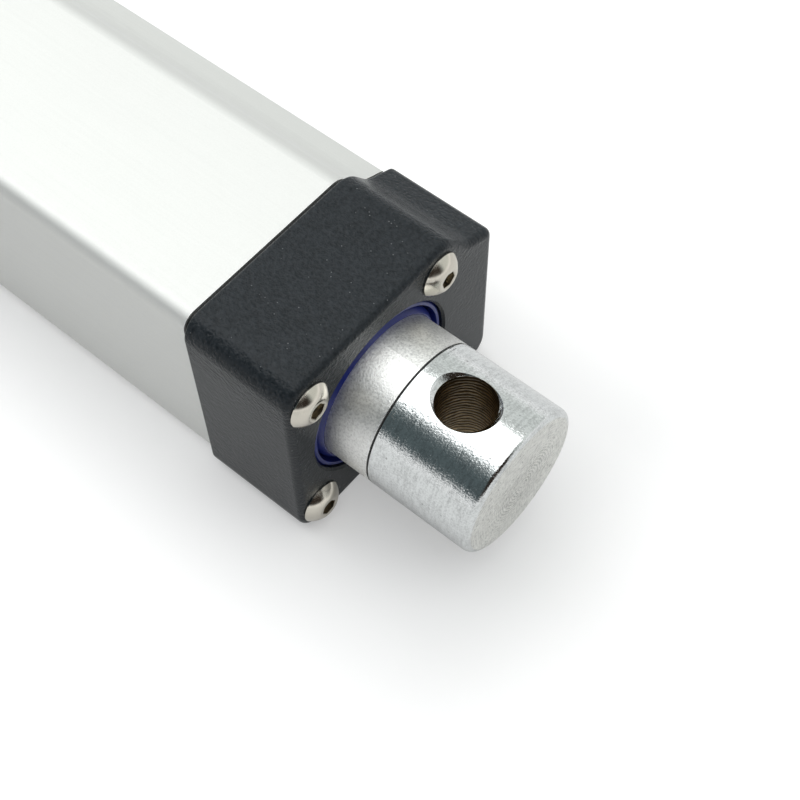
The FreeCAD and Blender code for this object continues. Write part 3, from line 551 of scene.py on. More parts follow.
@dataclass(frozen=True)
class PlatedEnd(Finish):
    """Bright plate with a turned bore and a sanded end face."""

    hole_place: float = 205.0 * MM
    hole_radius: float = 3.7 * MM
    end_face: float = 213.3 * MM
    margin: float = 0.03 * MM
    fine_scale: float = 4200.0
    stain_scale: float = 820.0
    drawn_scale: float = 2600.0
    drawn_stretch: Place = (1.0, 0.2, 0.2)
    wear_shares: tuple[float, float, float] = (0.5, 0.35, 0.15)
    wear_span: Span = (0.15, 0.65)
    plate_shades: Span = (0.64, 1.0)
    plate_relief: float = 0.00002
    plate_spread: Span = (0.02, 0.03)
    skin_share: float = 0.5
    pit_scale: float = 1500.0
    pit_share: float = 0.05
    pit_strength: float = 0.6
    pit_colour: Colour = (0.10, 0.10, 0.09)
    bore_colour: Colour = (0.66, 0.50, 0.29)
    bore_dip: float = 0.22
    bore_roughness: float = 0.30
    bore_spacing: float = 0.62 * MM
    bore_wander: float = 1.9
    bore_stain: tuple[float, float, float, float] = (0.1, 0.8, 0.25, 0.9)
    # Painted shade: the bore is painted darker towards its top rim, over this span of heights.
    bore_shaded_rim: Span = (7.4 * MM, 9.2 * MM)
    bore_rim_shade: float = 0.1
    bore_relief: float = 0.00005
    end_colour: Colour = (0.98, 0.98, 0.94)
    end_dip: float = 0.40
    end_roughness: float = 0.38
    end_relief: float = 0.000045
    scuff_scale: float = 3600.0
    scuff_stretch: float = 0.25
    scuff_share: float = 0.5
    swirl_spacing: float = 0.42 * MM
    swirl_wander: float = 0.7
    swirl_place: Span = (0.5 * MM, -1.0 * MM)
    swirl_fade: Span = (2.0 * MM, 7.0 * MM)
    swirl_far: float = 0.3

    def dress(self, canvas: Canvas) -> None:
        """Adds fine plating marks, the bore's rings with painted shade at its top rim, and the end face's scuffs.

        Args:
            canvas: The material's canvas.
        """
        graph = canvas.graph
        along, side, height = graph.axes(canvas.place)
        reach = graph.reach(graph.minus(along, self.hole_place), side)
        bore = graph.math("LESS_THAN", reach, self.hole_radius + self.margin)
        end = graph.math("GREATER_THAN", along, self.end_face - self.margin)
        fine = canvas.grain(self.fine_scale)
        stain = canvas.grain(self.stain_scale)
        drawn = canvas.grain(self.drawn_scale, self.drawn_stretch)
        rings = canvas.marks(height, self.bore_spacing, self.bore_wander)
        scuffs = self.scuffs(canvas, side, height, fine)

        fine_share, drawn_share, stain_share = self.wear_shares
        flecks = graph.plus(graph.times(fine, fine_share), graph.times(drawn, drawn_share))
        wear = graph.plus(flecks, graph.times(stain, stain_share))
        plate = self.tone(graph, graph.range(wear, *self.wear_span, 0.0, 1.0), self.plate_shades)
        ridges = graph.times(rings, graph.range(stain, *self.bore_stain))
        # Painted shade: the bore darkens towards its top rim.
        rim = graph.range(height, *self.bore_shaded_rim, 1.0, self.bore_rim_shade, smooth=True)
        bore_dark = shaded(self.bore_colour, self.bore_dip)
        bored = graph.blend(bore, plate, graph.blend(graph.times(ridges, rim), bore_dark, self.bore_colour))
        end_dark = shaded(self.end_colour, self.end_dip)
        sanded = graph.math("MULTIPLY", scuffs, self.scuff_share, clamp=True)
        tone = graph.blend(end, bored, graph.blend(sanded, self.end_colour, end_dark))
        pits = graph.times(canvas.specks(self.pit_scale, self.pit_share), self.pit_strength)
        canvas.paint(graph.blend(pits, tone, self.pit_colour))

        below, above = self.plate_spread
        plain = graph.range(fine, 0.0, 1.0, self.roughness - below, self.roughness + above)
        zones = (graph.times(bore, self.bore_roughness), graph.times(end, self.end_roughness))
        rough = graph.math("MAXIMUM", plain, graph.math("MAXIMUM", *zones))
        graph.feed(canvas.shader.inputs["Roughness"], rough)

        outside = graph.minus(1.0, graph.math("MAXIMUM", bore, end))
        skin = graph.times(graph.plus(drawn, graph.times(fine, self.skin_share)), outside)
        swept = graph.plus(graph.times(scuffs, end), graph.times(fine, end))
        normal = graph.bump(skin, self.plate_relief)
        normal = graph.bump(graph.times(rings, bore), self.bore_relief, normal)
        normal = graph.bump(swept, self.end_relief, normal)
        graph.feed(canvas.shader.inputs["Normal"], normal)

    def scuffs(self, canvas: Canvas, side: Socket, height: Socket, fine: Socket) -> Socket:
        """Sanding marks of the end face: swirls that fade outwards, crossed by short strokes.

        Args:
            canvas: The material's canvas.
            side: Place along Y.
            height: Place along Z.
            fine: The plate's fine grain.

        Returns:
            The marks' socket.
        """
        graph = canvas.graph
        middle_side, middle_height = self.swirl_place
        reach = graph.reach(graph.minus(side, middle_side), graph.minus(height, middle_height))
        swirls = canvas.marks(reach, self.swirl_spacing, self.swirl_wander)
        fade = graph.range(reach, *self.swirl_fade, 1.0, self.swirl_far, smooth=True)
        across = canvas.grain(self.scuff_scale, (1.0, self.scuff_stretch, 1.0))
        upward = canvas.grain(self.scuff_scale, (1.0, 1.0, self.scuff_stretch))
        return graph.times(graph.plus(across, graph.times(swirls, fade)), graph.plus(upward, fine))


@dataclass(frozen=True)
class SoftFinish(Finish):
    """Rubber or polymer with a soft grain and small changes of shade."""

    grain_scale: float = 1800.0
    cloud_scale: float = 300.0
    relief: float = 0.000008
    shades: Span = (0.85, 1.15)
    roughness_spread: Span = (0.05, 0.05)

    def dress(self, canvas: Canvas) -> None:
        """Adds clouds in the colour, and the grain in the roughness and the relief.

        Args:
            canvas: The material's canvas.
        """
        cloud = canvas.grain(self.cloud_scale)
        fine = canvas.grain(self.grain_scale)
        canvas.paint(self.tone(canvas.graph, cloud, self.shades))
        canvas.roughen(fine, self.roughness, self.roughness_spread)
        canvas.emboss(fine, self.relief)


@dataclass(frozen=True)
class TurnedMetal(Finish):
    """Metal turned on a lathe along X, with fine rings."""

    spacing: float = 0.22 * MM
    wander: float = 0.4
    cloud_scale: float = 240.0
    shades: Span = (0.82, 1.0)
    roughness_spread: Span = (0.05, 0.08)
    relief: float = 0.000003

    def dress(self, canvas: Canvas) -> None:
        """Adds turning rings and a little stain.

        Args:
            canvas: The material's canvas.
        """
        along = canvas.graph.axes(canvas.place)[0]
        rings = canvas.marks(along, self.spacing, self.wander)
        cloud = canvas.grain(self.cloud_scale)
        canvas.paint(self.tone(canvas.graph, cloud, self.shades))
        canvas.roughen(rings, self.roughness, self.roughness_spread)
        canvas.emboss(rings, self.relief)


@dataclass(frozen=True)
class PolishedMetal(Finish):
    """Bright metal with faint clouds and a few hairlines, and painted shade in the sockets where a mesh marks them."""

    SOCKET_SHADE: ClassVar[str] = "socket_shade"
    # Painted shade: the colour of the hex socket, darker than the bright metal.
    socket_shade_colour: Colour = (0.44, 0.40, 0.33)
    cloud_scale: float = 420.0
    hair_scale: float = 3000.0
    hair_stretch: Place = (1.0, 0.12, 0.3)
    shades: Span = (0.9, 1.0)
    roughness_spread: Span = (0.04, 0.06)
    relief: float = 0.000001

    def dress(self, canvas: Canvas) -> None:
        """Adds clouds in the colour, hairlines in the roughness and the painted shade of the sockets.

        Args:
            canvas: The material's canvas.
        """
        graph = canvas.graph
        cloud = canvas.grain(self.cloud_scale)
        hairs = canvas.grain(self.hair_scale, self.hair_stretch)
        # The socket's mark: painted shade takes the place of the bright colour there.
        socket_shade = graph.add("ShaderNodeAttribute", attribute_name=self.SOCKET_SHADE).outputs["Fac"]
        bright = self.tone(graph, cloud, self.shades)
        canvas.paint(graph.blend(socket_shade, bright, self.socket_shade_colour))
        canvas.roughen(hairs, self.roughness, self.roughness_spread)
        canvas.emboss(hairs, self.relief)


FINISHES: dict[Slot, Finish] = {finish.slot: finish for finish in (
    DrawnMetal(Slot.TUBE, (0.770, 0.774, 0.757), 0.64, 1.0, shades=(0.99, 1.01), relief=0.000001),
    BlastedMetal(Slot.ROD, (0.90, 0.90, 0.88), 0.44, 1.0),
    CoatedMetal(Slot.COAT, (0.0085, 0.0140, 0.0185), 0.19),
    PlatedEnd(Slot.PLATE, (0.81, 0.83, 0.83), 0.065, 1.0),
    PolishedMetal(Slot.SCREWS, (0.72, 0.68, 0.60), 0.17, 1.0),
    SoftFinish(Slot.SEAL, (0.011, 0.021, 0.18), 0.34),
    SoftFinish(Slot.RUBBER, (0.012, 0.012, 0.012), 0.55),
    TurnedMetal(Slot.STEEL, (0.56, 0.56, 0.56), 0.28, 1.0),
    TurnedMetal(Slot.BRONZE, (0.62, 0.42, 0.20), 0.32, 1.0),
    DrawnMetal(Slot.COPPER, (0.60, 0.27, 0.13), 0.30, 1.0, line_stretch=(1.0, 0.03, 1.0)),
    SoftFinish(Slot.ACETAL, (0.78, 0.78, 0.74), 0.38, shades=(0.97, 1.03)),
    SoftFinish(Slot.PLASTIC, (0.016, 0.016, 0.017), 0.42),
    SoftFinish(Slot.BOARD, (0.020, 0.16, 0.055), 0.35),
    BlastedMetal(Slot.FERRITE, (0.10, 0.10, 0.10), 0.60),
)}


class Frame:
    """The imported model, with the calls that every piece needs."""

    def __init__(self) -> None:
        """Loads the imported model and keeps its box."""
        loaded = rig.load()
        self.nodes: dict[str, bpy.types.Object] = loaded["nodes"]
        self.box = [list(corner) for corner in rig.bounds()]

    def dress(self, node: str, slot: Slot) -> None:
        """Gives a CAD node its finish.

        Args:
            node: The node's name.
            slot: The slot that names the finish.
        """
        mesh = self.nodes[node].data
        mesh.materials.clear()
        mesh.materials.append(FINISHES[slot].material())
        LOG.info("%s dressed in %s", node, slot.value)

    def stand_in(self, piece: bpy.types.Object, node: str, body: Body, slot: Slot) -> None:
        """Puts a piece in a CAD node's place.

        Args:
            piece: The piece, at the origin.
            node: The node that it stands for.
            body: The body that it rides on.
            slot: The record's slot of its finish.
        """
        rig.ride(piece, body.value)
        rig.replaces(piece, node)
        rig.slot(piece, slot.value)
        LOG.info("%s replaces %s, %d faces", piece.name, node, len(piece.data.polygons))

    def write_sizes(self, path: str) -> None:
        """Args:
            path: The file to write.
        """
        boxes = {"cad": self.box, "visual": [list(corner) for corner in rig.bounds()]}
        with open(path, "w") as handle:
            json.dump(boxes, handle)


def add_object(name: str, data: bpy.types.ID) -> bpy.types.Object:
    """Adds an object to the scene.

    Args:
        name: The object's name.
        data: Its mesh, light or camera.

    Returns:
        The new object.
    """
    made = bpy.data.objects.new(name, data)
    bpy.context.scene.collection.objects.link(made)
    return made


def lofted_mesh(name: str, rings: Sequence[Ring], start: float, end: float, sides: int) -> bpy.types.Mesh:
    """Joins rings round the X axis to a closed skin.

    Args:
        name: The mesh's name.
        rings: Functions of the angle that give a point's place along X and its radius.
        start: Place along X of the first ring's centre.
        end: Place along X of the last ring's centre.
        sides: Points on each ring.

    Returns:
        The mesh, with smooth faces and sharp edges.
    """
    shell = bmesh.new()
    angles = [math.tau * index / sides for index in range(sides)]
    rows = []
    for ring in rings:
        row = []
        for angle in angles:
            along, radius = ring(angle)
            row.append(shell.verts.new((along, radius * math.cos(angle), radius * math.sin(angle))))
        rows.append(row)
    for first, second in zip(rows, rows[1:]):
        for index in range(sides):
            following = (index + 1) % sides
            shell.faces.new((first[index], first[following], second[following], second[index]))
    for row, place in ((rows[0], start), (rows[-1], end)):
        centre = shell.verts.new((place, 0.0, 0.0))
        for index in range(sides):
            shell.faces.new((row[index], row[(index + 1) % sides], centre))
    bmesh.ops.recalc_face_normals(shell, faces=shell.faces)
    mesh = bpy.data.meshes.new(name)
    shell.to_mesh(mesh)
    shell.free()
    mesh.shade_smooth()
    mesh.set_sharp_from_angle(angle=SHARP_ANGLE)
    return mesh


def round_ring(along: float, radius: float) -> Ring:
    """A round ring at one place along X."""
    return lambda angle: (along, radius)


def hex_ring(along: float, across: float) -> Ring:
    """A hexagonal ring at one place along X, of a width across its flats."""
    sector = math.pi / 3.0
    return lambda angle: (along, across / 2.0 / math.cos((angle % sector) - sector / 2.0))


def thread_ring(along: float, radius: float, depth: float, pitch: float) -> Ring:
    """A ring on a screw thread: its radius follows the helix.

    Args:
        along: Place along X.
        radius: Radius at the thread's crest.
        depth: Depth of the thread.
        pitch: Distance from one crest to the next.

    Returns:
        The ring.
    """
    def ring(angle: float) -> Span:
        """Place and radius at one angle."""
        phase = (along / pitch - angle / math.tau) % 1.0
        # A quarter of each pitch is a flat crest and a quarter a flat root.
        ridge = min(1.0, max(0.0, 1.5 - abs(phase * 2.0 - 1.0) * 2.0))
        return along, radius - depth * (1.0 - ridge)
    return ring


@dataclass
class Screw:
    """One screw along X: its head stands on x = 0 and its shank runs to -X."""

    name: str
    head: Head
    shank_length: float = 10.0 * MM
    head_diameter: float = 6.0 * MM
    head_height: float = 1.45 * MM
    head_flat: float = 3.2 * MM
    head_chamfer: float = 0.3 * MM
    rim: float = 0.2 * MM
    key_width: float = 2.0 * MM
    key_depth: float = 1.05 * MM
    key_edge: float = 0.06 * MM
    key_cone: float = 0.15 * MM
    shank_radius: float = 1.5 * MM
    thread_pitch: float = 0.5 * MM
    thread_depth: float = 0.27 * MM
    thread_steps: int = 5
    edge: float = 0.08 * MM
    sides: int = 48
    dome_steps: int = 12

    def mesh(self) -> bpy.types.Mesh:
        """The screw's skin, from the key's floor over the head to the tip, with its socket marked for painted shade.

        Returns:
            The mesh, with the socket at 1 in the attribute that the finish reads to paint shade into the socket.
        """
        key = self.key_rings()
        rings = key + self.head_rings() + self.shank_rings()
        floor = self.head_height - self.key_depth - self.key_cone
        mesh = lofted_mesh(self.name, rings, floor, -self.shank_length, self.sides)
        # Marks the hex socket, where the finish paints shade.
        socket_shade = mesh.attributes.new(PolishedMetal.SOCKET_SHADE, "FLOAT", "POINT")
        inside = range(self.sides * (len(key) - 1))
        for index in (*inside, self.sides * len(rings)):
            socket_shade.data[index].value = 1.0
        return mesh

    def seat_corners(self, node: str) -> list[Place]:
        """Seats of four screws along X at the corners of a CAD node's box; sets the shank's length.

        Args:
            node: The node of the four screws.

        Returns:
            The places that the heads stand on.
        """
        low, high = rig.box(node)
        radius = self.head_diameter / 2.0
        seat = high.x - self.head_height
        self.shank_length = seat - low.x
        heights = (high.z - radius, low.z + radius)
        return [(seat, side, height) for side in (high.y - radius, low.y + radius) for height in heights]

    def key_rings(self) -> list[Ring]:
        """Rings of the hexagon socket.

        Returns:
            The rings, from the socket's floor to the top of the head.
        """
        top = self.head_height
        corner = self.key_width / math.sqrt(3.0)
        return [
            hex_ring(top - self.key_depth, self.key_width),
            hex_ring(top - self.key_edge, self.key_width),
            round_ring(top, corner + self.key_edge),
        ]

    def head_rings(self) -> list[Ring]:
        """Rings of the head's outside.

        Returns:
            The rings, from the head's top to its seat.
        """
        top = self.head_height
        rim_radius = self.head_diameter / 2.0
        if self.head is Head.BUTTON:
            rings = self.dome_rings(self.head_flat / 2.0, rim_radius)
        else:
            rings = [
                round_ring(top, rim_radius - self.head_chamfer),
                round_ring(top - self.head_chamfer, rim_radius),
            ]
        rings.append(round_ring(self.edge, rim_radius))
        rings.append(round_ring(0.0, rim_radius - self.edge))
        rings.append(round_ring(0.0, self.shank_radius))
        return rings

    def dome_rings(self, flat: float, rim_radius: float) -> list[Ring]:
        """Rings of the spherical dome between the flat top and the rim.

        Args:
            flat: Radius of the flat top.
            rim_radius: Radius of the rim.

        Returns:
            The rings, from the flat to the rim.
        """
        drop = self.head_height ** 2 - self.rim ** 2 + flat ** 2 - rim_radius ** 2
        centre = drop / (2.0 * (self.head_height - self.rim))
        sphere = math.hypot(rim_radius, self.rim - centre)
        rings = []
        for step in range(self.dome_steps + 1):
            radius = flat + (rim_radius - flat) * step / self.dome_steps
            rings.append(round_ring(centre + math.sqrt(sphere ** 2 - radius ** 2), radius))
        return rings

    def shank_rings(self) -> list[Ring]:
        """Rings of the threaded shank.

        Returns:
            The rings, from below the head to the tip.
        """
        rings = [round_ring(-self.thread_pitch, self.shank_radius)]
        step = self.thread_pitch / self.thread_steps
        place = -self.thread_pitch - step
        while place > -self.shank_length + self.thread_pitch:
            rings.append(thread_ring(place, self.shank_radius, self.thread_depth, self.thread_pitch))
            place -= step
        rings.append(round_ring(-self.shank_length, self.shank_radius - self.thread_depth))
        return rings


@dataclass
class ScrewSet:
    """One piece of equal screws in a CAD node's place, which Geometry Nodes set on their seats."""

    KEY_SECTOR: ClassVar[float] = math.pi / 3.0
    INPUTS: ClassVar[dict[str, str]] = {
        "Places": "NodeSocketGeometry", "Screw": "NodeSocketObject", "Direction": "NodeSocketRotation",
        "Seed": "NodeSocketInt", "Finish": "NodeSocketMaterial",
    }
    node: str
    name: str
    screw: Screw
    places: Sequence[Place]
    seed: int
    direction: Euler = field(default_factory=Euler)
    slot: Slot = Slot.SCREWS

    @classmethod
    @cache
    def tree(cls) -> bpy.types.NodeTree:
        """The node tree that sets one screw on each point of a mesh, made at its first use.

        Returns:
            The node tree.
        """
        tree = bpy.data.node_groups.new("screw_pattern", "GeometryNodeTree")
        tree.interface.new_socket("Geometry", in_out="OUTPUT", socket_type="NodeSocketGeometry")
        for label, kind in cls.INPUTS.items():
            tree.interface.new_socket(label, in_out="INPUT", socket_type=kind)
        graph = Graph(tree)
        entry = graph.add("NodeGroupInput").outputs
        points = graph.add("GeometryNodeMeshToPoints", {"Mesh": entry["Places"]})
        source = graph.add("GeometryNodeObjectInfo", {"Object": entry["Screw"]}, transform_space="ORIGINAL")
        copies = graph.add("GeometryNodeInstanceOnPoints", {
            "Points": points.outputs[0], "Instance": source.outputs["Geometry"],
            "Rotation": entry["Direction"],
        })
        spin = graph.add("FunctionNodeRandomValue", {2: 0.0, 3: cls.KEY_SECTOR, "Seed": entry["Seed"]},
                         data_type="FLOAT")
        turn = graph.add("ShaderNodeCombineXYZ", {0: spin.outputs[1]})
        turned = graph.add("GeometryNodeRotateInstances", {
            "Instances": copies.outputs[0], "Rotation": turn.outputs[0], "Local Space": True,
        })
        solid = graph.add("GeometryNodeRealizeInstances", {0: turned.outputs[0]})
        dressed = {"Geometry": solid.outputs[0], "Material": entry["Finish"]}
        finish = graph.add("GeometryNodeSetMaterial", dressed)
        graph.add("NodeGroupOutput", {0: finish.outputs[0]})
        return tree

    def piece(self) -> bpy.types.Object:
        """Makes the screws.

        Returns:
            The finished piece, a plain mesh at the origin.
        """
        seats = bpy.data.meshes.new(self.name)
        seats.from_pydata([Vector(place) for place in self.places], [], [])
        piece = add_object(self.name, seats)
        source = add_object(f"{self.name}_source", self.screw.mesh())
        modifier = piece.modifiers.new("pattern", "NODES")
        modifier.node_group = self.tree()
        finish = FINISHES[self.slot].material()
        values = {"Screw": source, "Direction": self.direction, "Seed": self.seed, "Finish": finish}
        for item in self.tree().interface.items_tree:
            if item.in_out == "INPUT" and item.name in values:
                modifier[item.identifier] = values[item.name]
        bpy.context.view_layer.update()
        graph = bpy.context.evaluated_depsgraph_get()
        solid = bpy.data.meshes.new_from_object(piece.evaluated_get(graph), depsgraph=graph)
        piece.modifiers.clear()
        piece.data = solid
        bpy.data.meshes.remove(seats)
        bpy.data.objects.remove(source)
        return piece

    def place(self, frame: Frame) -> None:
        """Puts the screws in their CAD node's place."""
        frame.stand_in(self.piece(), self.node, Body.HOUSING, self.slot)


@dataclass
class Assembly:
    """A sub-assembly: CAD nodes that each take a finish."""

    finishes: dict[str, Slot] = field(default_factory=dict)

    def build(self, frame: Frame) -> None:
        """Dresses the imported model's nodes."""
        for node, slot in self.finishes.items():
            frame.dress(node, slot)


@dataclass
class TubeAssembly(Assembly):
    """Tube, cap, seals and the switches in the lobe."""

    key_seed: int = 7
    finishes: dict[str, Slot] = field(default_factory=lambda: {
        "outer_tube": Slot.TUBE, "front_cap": Slot.COAT, "front_gasket": Slot.RUBBER,
        "rear_gasket": Slot.RUBBER, "guide_bush": Slot.ACETAL, "wiper_seal": Slot.SEAL,
        "switch_board": Slot.BOARD, "limit_switches": Slot.PLASTIC, "tube_screws": Slot.SCREWS,
    })

    def build(self, frame: Frame) -> None:
        """Dresses the nodes and sets the cap's screws.

        Args:
            frame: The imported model.
        """
        super().build(frame)
        screw = Screw("cap_screw", Head.BUTTON)
        places = screw.seat_corners("cap_screws")
        ScrewSet("cap_screws", "cap_button_screws", screw, places, self.key_seed).place(frame)


@dataclass
class RodAssembly(Assembly):
    """Rod, its plated end and the drive nut."""

    finishes: dict[str, Slot] = field(default_factory=lambda: {
        "rod_tube": Slot.ROD, "rod_end_ring": Slot.RUBBER, "rod_end": Slot.PLATE, "drive_nut": Slot.BRONZE,
    })


@dataclass
class DriveUnit(Assembly):
    """Gear housing, motor cover, bearing plate and cable gland, with their screws."""

    plate_key_seed: int = 3
    cover_key_seed: int = 5
    plate_head_diameter: float = 5.5 * MM
    plate_head_height: float = 3.0 * MM
    plate_key_width: float = 2.5 * MM
    plate_key_depth: float = 1.5 * MM
    finishes: dict[str, Slot] = field(default_factory=lambda: {
        "gear_housing": Slot.COAT, "bearing_plate": Slot.COAT, "motor_cover": Slot.COAT,
        "housing_gasket": Slot.RUBBER, "motor_gasket": Slot.RUBBER, "gland_body": Slot.PLASTIC,
        "gland_nut": Slot.PLASTIC, "gland_seal": Slot.RUBBER,
    })

    def build(self, frame: Frame) -> None:
        """Dresses the nodes and sets the screws.

        Args:
            frame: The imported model.
        """
        super().build(frame)
        self.set_plate_screws(frame)
        self.set_cover_screws(frame)

    def set_plate_screws(self, frame: Frame) -> None:
        """Sets the cylinder head screws beside the tube.

        Args:
            frame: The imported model.
        """
        screw = Screw("plate_screw", Head.CYLINDER, head_diameter=self.plate_head_diameter,
                      head_height=self.plate_head_height, key_width=self.plate_key_width,
                      key_depth=self.plate_key_depth)
        places = screw.seat_corners("plate_screws")
        ScrewSet("plate_screws", "plate_cylinder_screws", screw, places, self.plate_key_seed).place(frame)

    def set_cover_screws(self, frame: Frame) -> None:
        """Sets the button head screws round the motor cover, two above and one below.

        Args:
            frame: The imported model.
        """
        low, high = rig.box("cover_screws")
        screw = Screw("cover_screw", Head.BUTTON)
        radius = screw.head_diameter / 2.0
        seat = low.y + screw.head_height
        screw.shank_length = high.y - seat
        upper = high.z - radius
        places = [
            (low.x + radius, seat, upper),
            (high.x - radius, seat, upper),
            ((low.x + high.x) / 2.0, seat, low.z + radius),
        ]
        direction = Euler((0.0, 0.0, -math.pi / 2.0))
        seed = self.cover_key_seed
        ScrewSet("cover_screws", "cover_button_screws", screw, places, seed, direction).place(frame)


@dataclass
class InnerWorks(Assembly):
    """Screw, bearing, worm gear and motor inside the housing."""

    finishes: dict[str, Slot] = field(default_factory=lambda: {
        "lead_screw": Slot.STEEL, "stop_washer": Slot.SCREWS, "stop_nut": Slot.SCREWS,
        "bearing_outer_race": Slot.STEEL, "bearing_inner_race": Slot.STEEL, "bearing_balls": Slot.STEEL,
        "bearing_shields": Slot.STEEL, "wheel_spacer": Slot.STEEL, "worm_wheel": Slot.ACETAL,
        "wheel_key": Slot.STEEL, "worm": Slot.STEEL, "rear_bush": Slot.BRONZE, "worm_bush": Slot.BRONZE,
        "motor_can": Slot.STEEL, "motor_front_bush": Slot.BRONZE, "motor_magnets": Slot.FERRITE,
        "motor_core": Slot.STEEL, "motor_windings": Slot.COPPER, "commutator": Slot.BRONZE,
        "motor_shaft": Slot.STEEL, "motor_brushes": Slot.PLASTIC, "end_bell": Slot.PLASTIC,
        "end_bell_bush": Slot.BRONZE, "motor_terminals": Slot.BRONZE, "motor_pad": Slot.RUBBER,
    })


@dataclass(frozen=True)
class Lamp:
    """One soft lamp: where it hangs, the point that it faces, its size in metres and its power in watts."""

    name: str
    place: Place
    aim: Place
    size: Span
    power: float

    def hang(self) -> None:
        """Adds the lamp to the scene, turned to its aim."""
        light = bpy.data.lights.new(self.name, "AREA")
        light.shape = "RECTANGLE"
        light.size, light.size_y = self.size
        light.energy = self.power
        lamp = add_object(self.name, light)
        lamp.location = self.place
        lamp.rotation_euler = (Vector(self.aim) - Vector(self.place)).to_track_quat("-Z", "Y").to_euler()


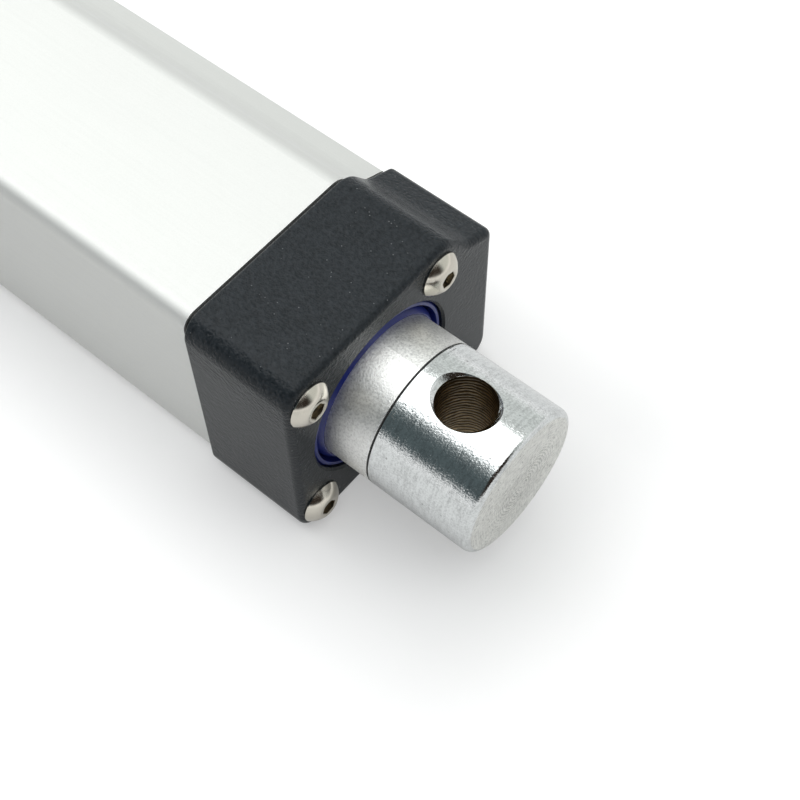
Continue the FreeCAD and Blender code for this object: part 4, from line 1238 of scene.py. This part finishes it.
@dataclass
class Studio:
    """Pale floor, soft light from above and the camera."""

    floor_height: float = -15.7 * MM
    floor_drop: float = 0.05 * MM
    floor_half: float = 3.0
    floor_colour: Colour = (0.66, 0.66, 0.66)
    floor_glow: float = 0.47
    # The floor's glow at the footprint, lower than elsewhere: a painted shadow round the object.
    painted_shadow_glow: float = 0.33
    footprint_middle: Span = (102.0 * MM, 3.0 * MM)
    footprint_half: Span = (111.0 * MM, 18.0 * MM)
    shadow_reach: float = 20.0 * MM
    far_reach: Span = (0.35, 1.6)
    far_glow: float = 0.48
    mirrored_glow: float = 0.36
    camera_place: Place = (0.254362, -0.068487, 0.148251)
    camera_right: Place = (0.769057, 0.639069, -0.011935)
    camera_up: Place = (-0.54077, 0.660491, 0.520884)
    camera_back: Place = (0.340763, -0.394135, 0.853544)
    lens: float = 65.0
    sensor: float = 36.0
    clip: Span = (0.005, 50.0)
    left_colour: Colour = (0.086, 0.110, 0.116)
    left_top_colour: Colour = (0.60, 0.64, 0.64)
    right_colour: Colour = (0.70, 0.73, 0.71)
    front_colour: Colour = (0.030, 0.022, 0.017)
    horizon_colour: Colour = (1.0, 1.0, 1.0)
    across_span: Span = (-0.25, 0.45)
    rise_span: Span = (0.68, 0.92)
    horizon_span: Span = (0.09, 0.23)
    front_span: Span = (0.25, 0.65)
    front_side_span: Span = (-0.05, 0.35)
    room_fill: float = 0.7
    lamps: tuple[Lamp, ...] = (
        Lamp("top_softbox", (-0.15, 0.005, 0.90), (-0.15, 0.005, 0.0), (2.3, 0.93), 10.5),
        Lamp("back_softbox", (-1.50, 0.0, 0.75), (0.15, 0.0, 0.0), (1.6, 0.9), 3.5),
    )

    def build(self) -> None:
        """Builds the floor, the world, the lamps and the camera, and sets the view transform."""
        self.lay_floor()
        self.paint_world()
        for lamp in self.lamps:
            lamp.hang()
        self.set_camera()
        bpy.context.scene.view_settings.view_transform = "Standard"

    def lay_floor(self) -> None:
        """Lays a pale floor that keeps the shadow and shows white; its glow drops near the object's footprint, a
        painted shadow round the object, and rises far off.
        """
        half = self.floor_half
        mesh = bpy.data.meshes.new("studio_floor")
        corners = [(-half, -half), (half, -half), (half, half), (-half, half)]
        height = self.floor_height - self.floor_drop
        mesh.from_pydata([(x, y, height) for x, y in corners], [], [(0, 1, 2, 3)])
        floor = add_object("studio_floor", mesh)
        made = bpy.data.materials.new("studio_floor")
        made.use_nodes = True
        made.node_tree.nodes.clear()
        graph = Graph(made.node_tree)
        place = graph.axes(graph.add("ShaderNodeTexCoord").outputs["Object"])
        matte = graph.add("ShaderNodeBsdfDiffuse", {"Color": self.floor_colour})
        reach = self.floor_distance(graph, place[:2])
        # Painted shadow: the glow drops near the object's footprint, so the floor shows darker round the object.
        shadowed_glow = graph.range(reach, 0.0, self.shadow_reach, self.painted_shadow_glow, self.floor_glow, smooth=True)
        far = graph.range(reach, *self.far_reach, 0.0, self.far_glow, smooth=True)
        lit = graph.times(self.seen_rays(graph, self.mirrored_glow), graph.plus(shadowed_glow, far))
        glow = graph.add("ShaderNodeEmission", {"Strength": lit})
        both = graph.add("ShaderNodeAddShader", {0: matte.outputs[0], 1: glow.outputs[0]})
        graph.add("ShaderNodeOutputMaterial", {"Surface": both.outputs[0]})
        mesh.materials.append(made)
        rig.stage(floor)

    @staticmethod
    def seen_rays(graph: Graph, mirrored: float = 1.0) -> Socket:
        """How far a ray shows the background: to the camera, in metal or through glass.

        Args:
            graph: The graph of the floor or the world.
            mirrored: The share of it that metal shows.

        Returns:
            The socket, 1 where the background shows in full and 0 where it only lights.
        """
        path = graph.add("ShaderNodeLightPath")
        shine = graph.times(path.outputs["Is Glossy Ray"], mirrored)
        seen = graph.math("MAXIMUM", path.outputs["Is Camera Ray"], shine)
        return graph.math("MAXIMUM", seen, path.outputs["Is Transmission Ray"])

    def floor_distance(self, graph: Graph, place: Sequence[Socket]) -> Socket:
        """Distance on the floor from the object's footprint.

        Args:
            graph: The floor material's graph.
            place: A point's place along X and along Y.

        Returns:
            The distance's socket, in metres.
        """
        beyond = []
        for socket, middle, half in zip(place, self.footprint_middle, self.footprint_half):
            off = graph.math("ABSOLUTE", graph.minus(socket, middle))
            beyond.append(graph.math("MAXIMUM", graph.minus(off, half), 0.0))
        return graph.reach(*beyond)

    def paint_world(self) -> None:
        """Paints a dim room: paler to the right, white at the horizon and dark in front to the left."""
        world = bpy.data.worlds.new("studio_room")
        world.use_nodes = True
        world.node_tree.nodes.clear()
        graph = Graph(world.node_tree)
        along, side, height = graph.axes(graph.add("ShaderNodeTexCoord").outputs["Generated"])
        across = graph.range(side, *self.across_span, 0.0, 1.0, smooth=True)
        rise = graph.range(height, *self.rise_span, 0.0, 1.0, smooth=True)
        left = graph.blend(rise, self.left_colour, self.left_top_colour)
        room = graph.blend(across, left, self.right_colour)
        low = graph.range(height, *self.horizon_span, 1.0, 0.0, smooth=True)
        backdrop = graph.blend(low, room, self.horizon_colour)
        ahead = graph.range(along, *self.front_span, 0.0, 1.0, smooth=True)
        ahead = graph.times(ahead, graph.range(side, *self.front_side_span, 1.0, 0.0, smooth=True))
        ahead = graph.times(ahead, graph.minus(1.0, low))
        colour = graph.blend(ahead, backdrop, self.front_colour)
        strength = graph.range(self.seen_rays(graph), 0.0, 1.0, self.room_fill, 1.0)
        sky = graph.add("ShaderNodeBackground", {"Color": colour, "Strength": strength})
        graph.add("ShaderNodeOutputWorld", {"Surface": sky.outputs[0]})
        bpy.context.scene.world = world

    def set_camera(self) -> None:
        """Sets the camera at the photograph's angle."""
        data = bpy.data.cameras.new("studio_camera")
        data.lens = self.lens
        data.sensor_width = self.sensor
        data.clip_start, data.clip_end = self.clip
        camera = add_object("studio_camera", data)
        rows = (self.camera_right, self.camera_up, self.camera_back)
        turn = Matrix(rows).transposed().to_4x4()
        camera.matrix_world = Matrix.Translation(self.camera_place) @ turn
        bpy.context.scene.camera = camera


def main() -> None:
    """Builds the sub-assemblies in order, then the studio, and writes the sizes."""
    logging.basicConfig(level=logging.INFO, format="%(name)s: %(message)s")
    frame = Frame()
    for assembly in (TubeAssembly(), RodAssembly(), DriveUnit(), InnerWorks()):
        assembly.build(frame)
        LOG.info("%s built", type(assembly).__name__)
    Studio().build()
    frame.write_sizes("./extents.json")


if __name__ == "__main__":
    main()
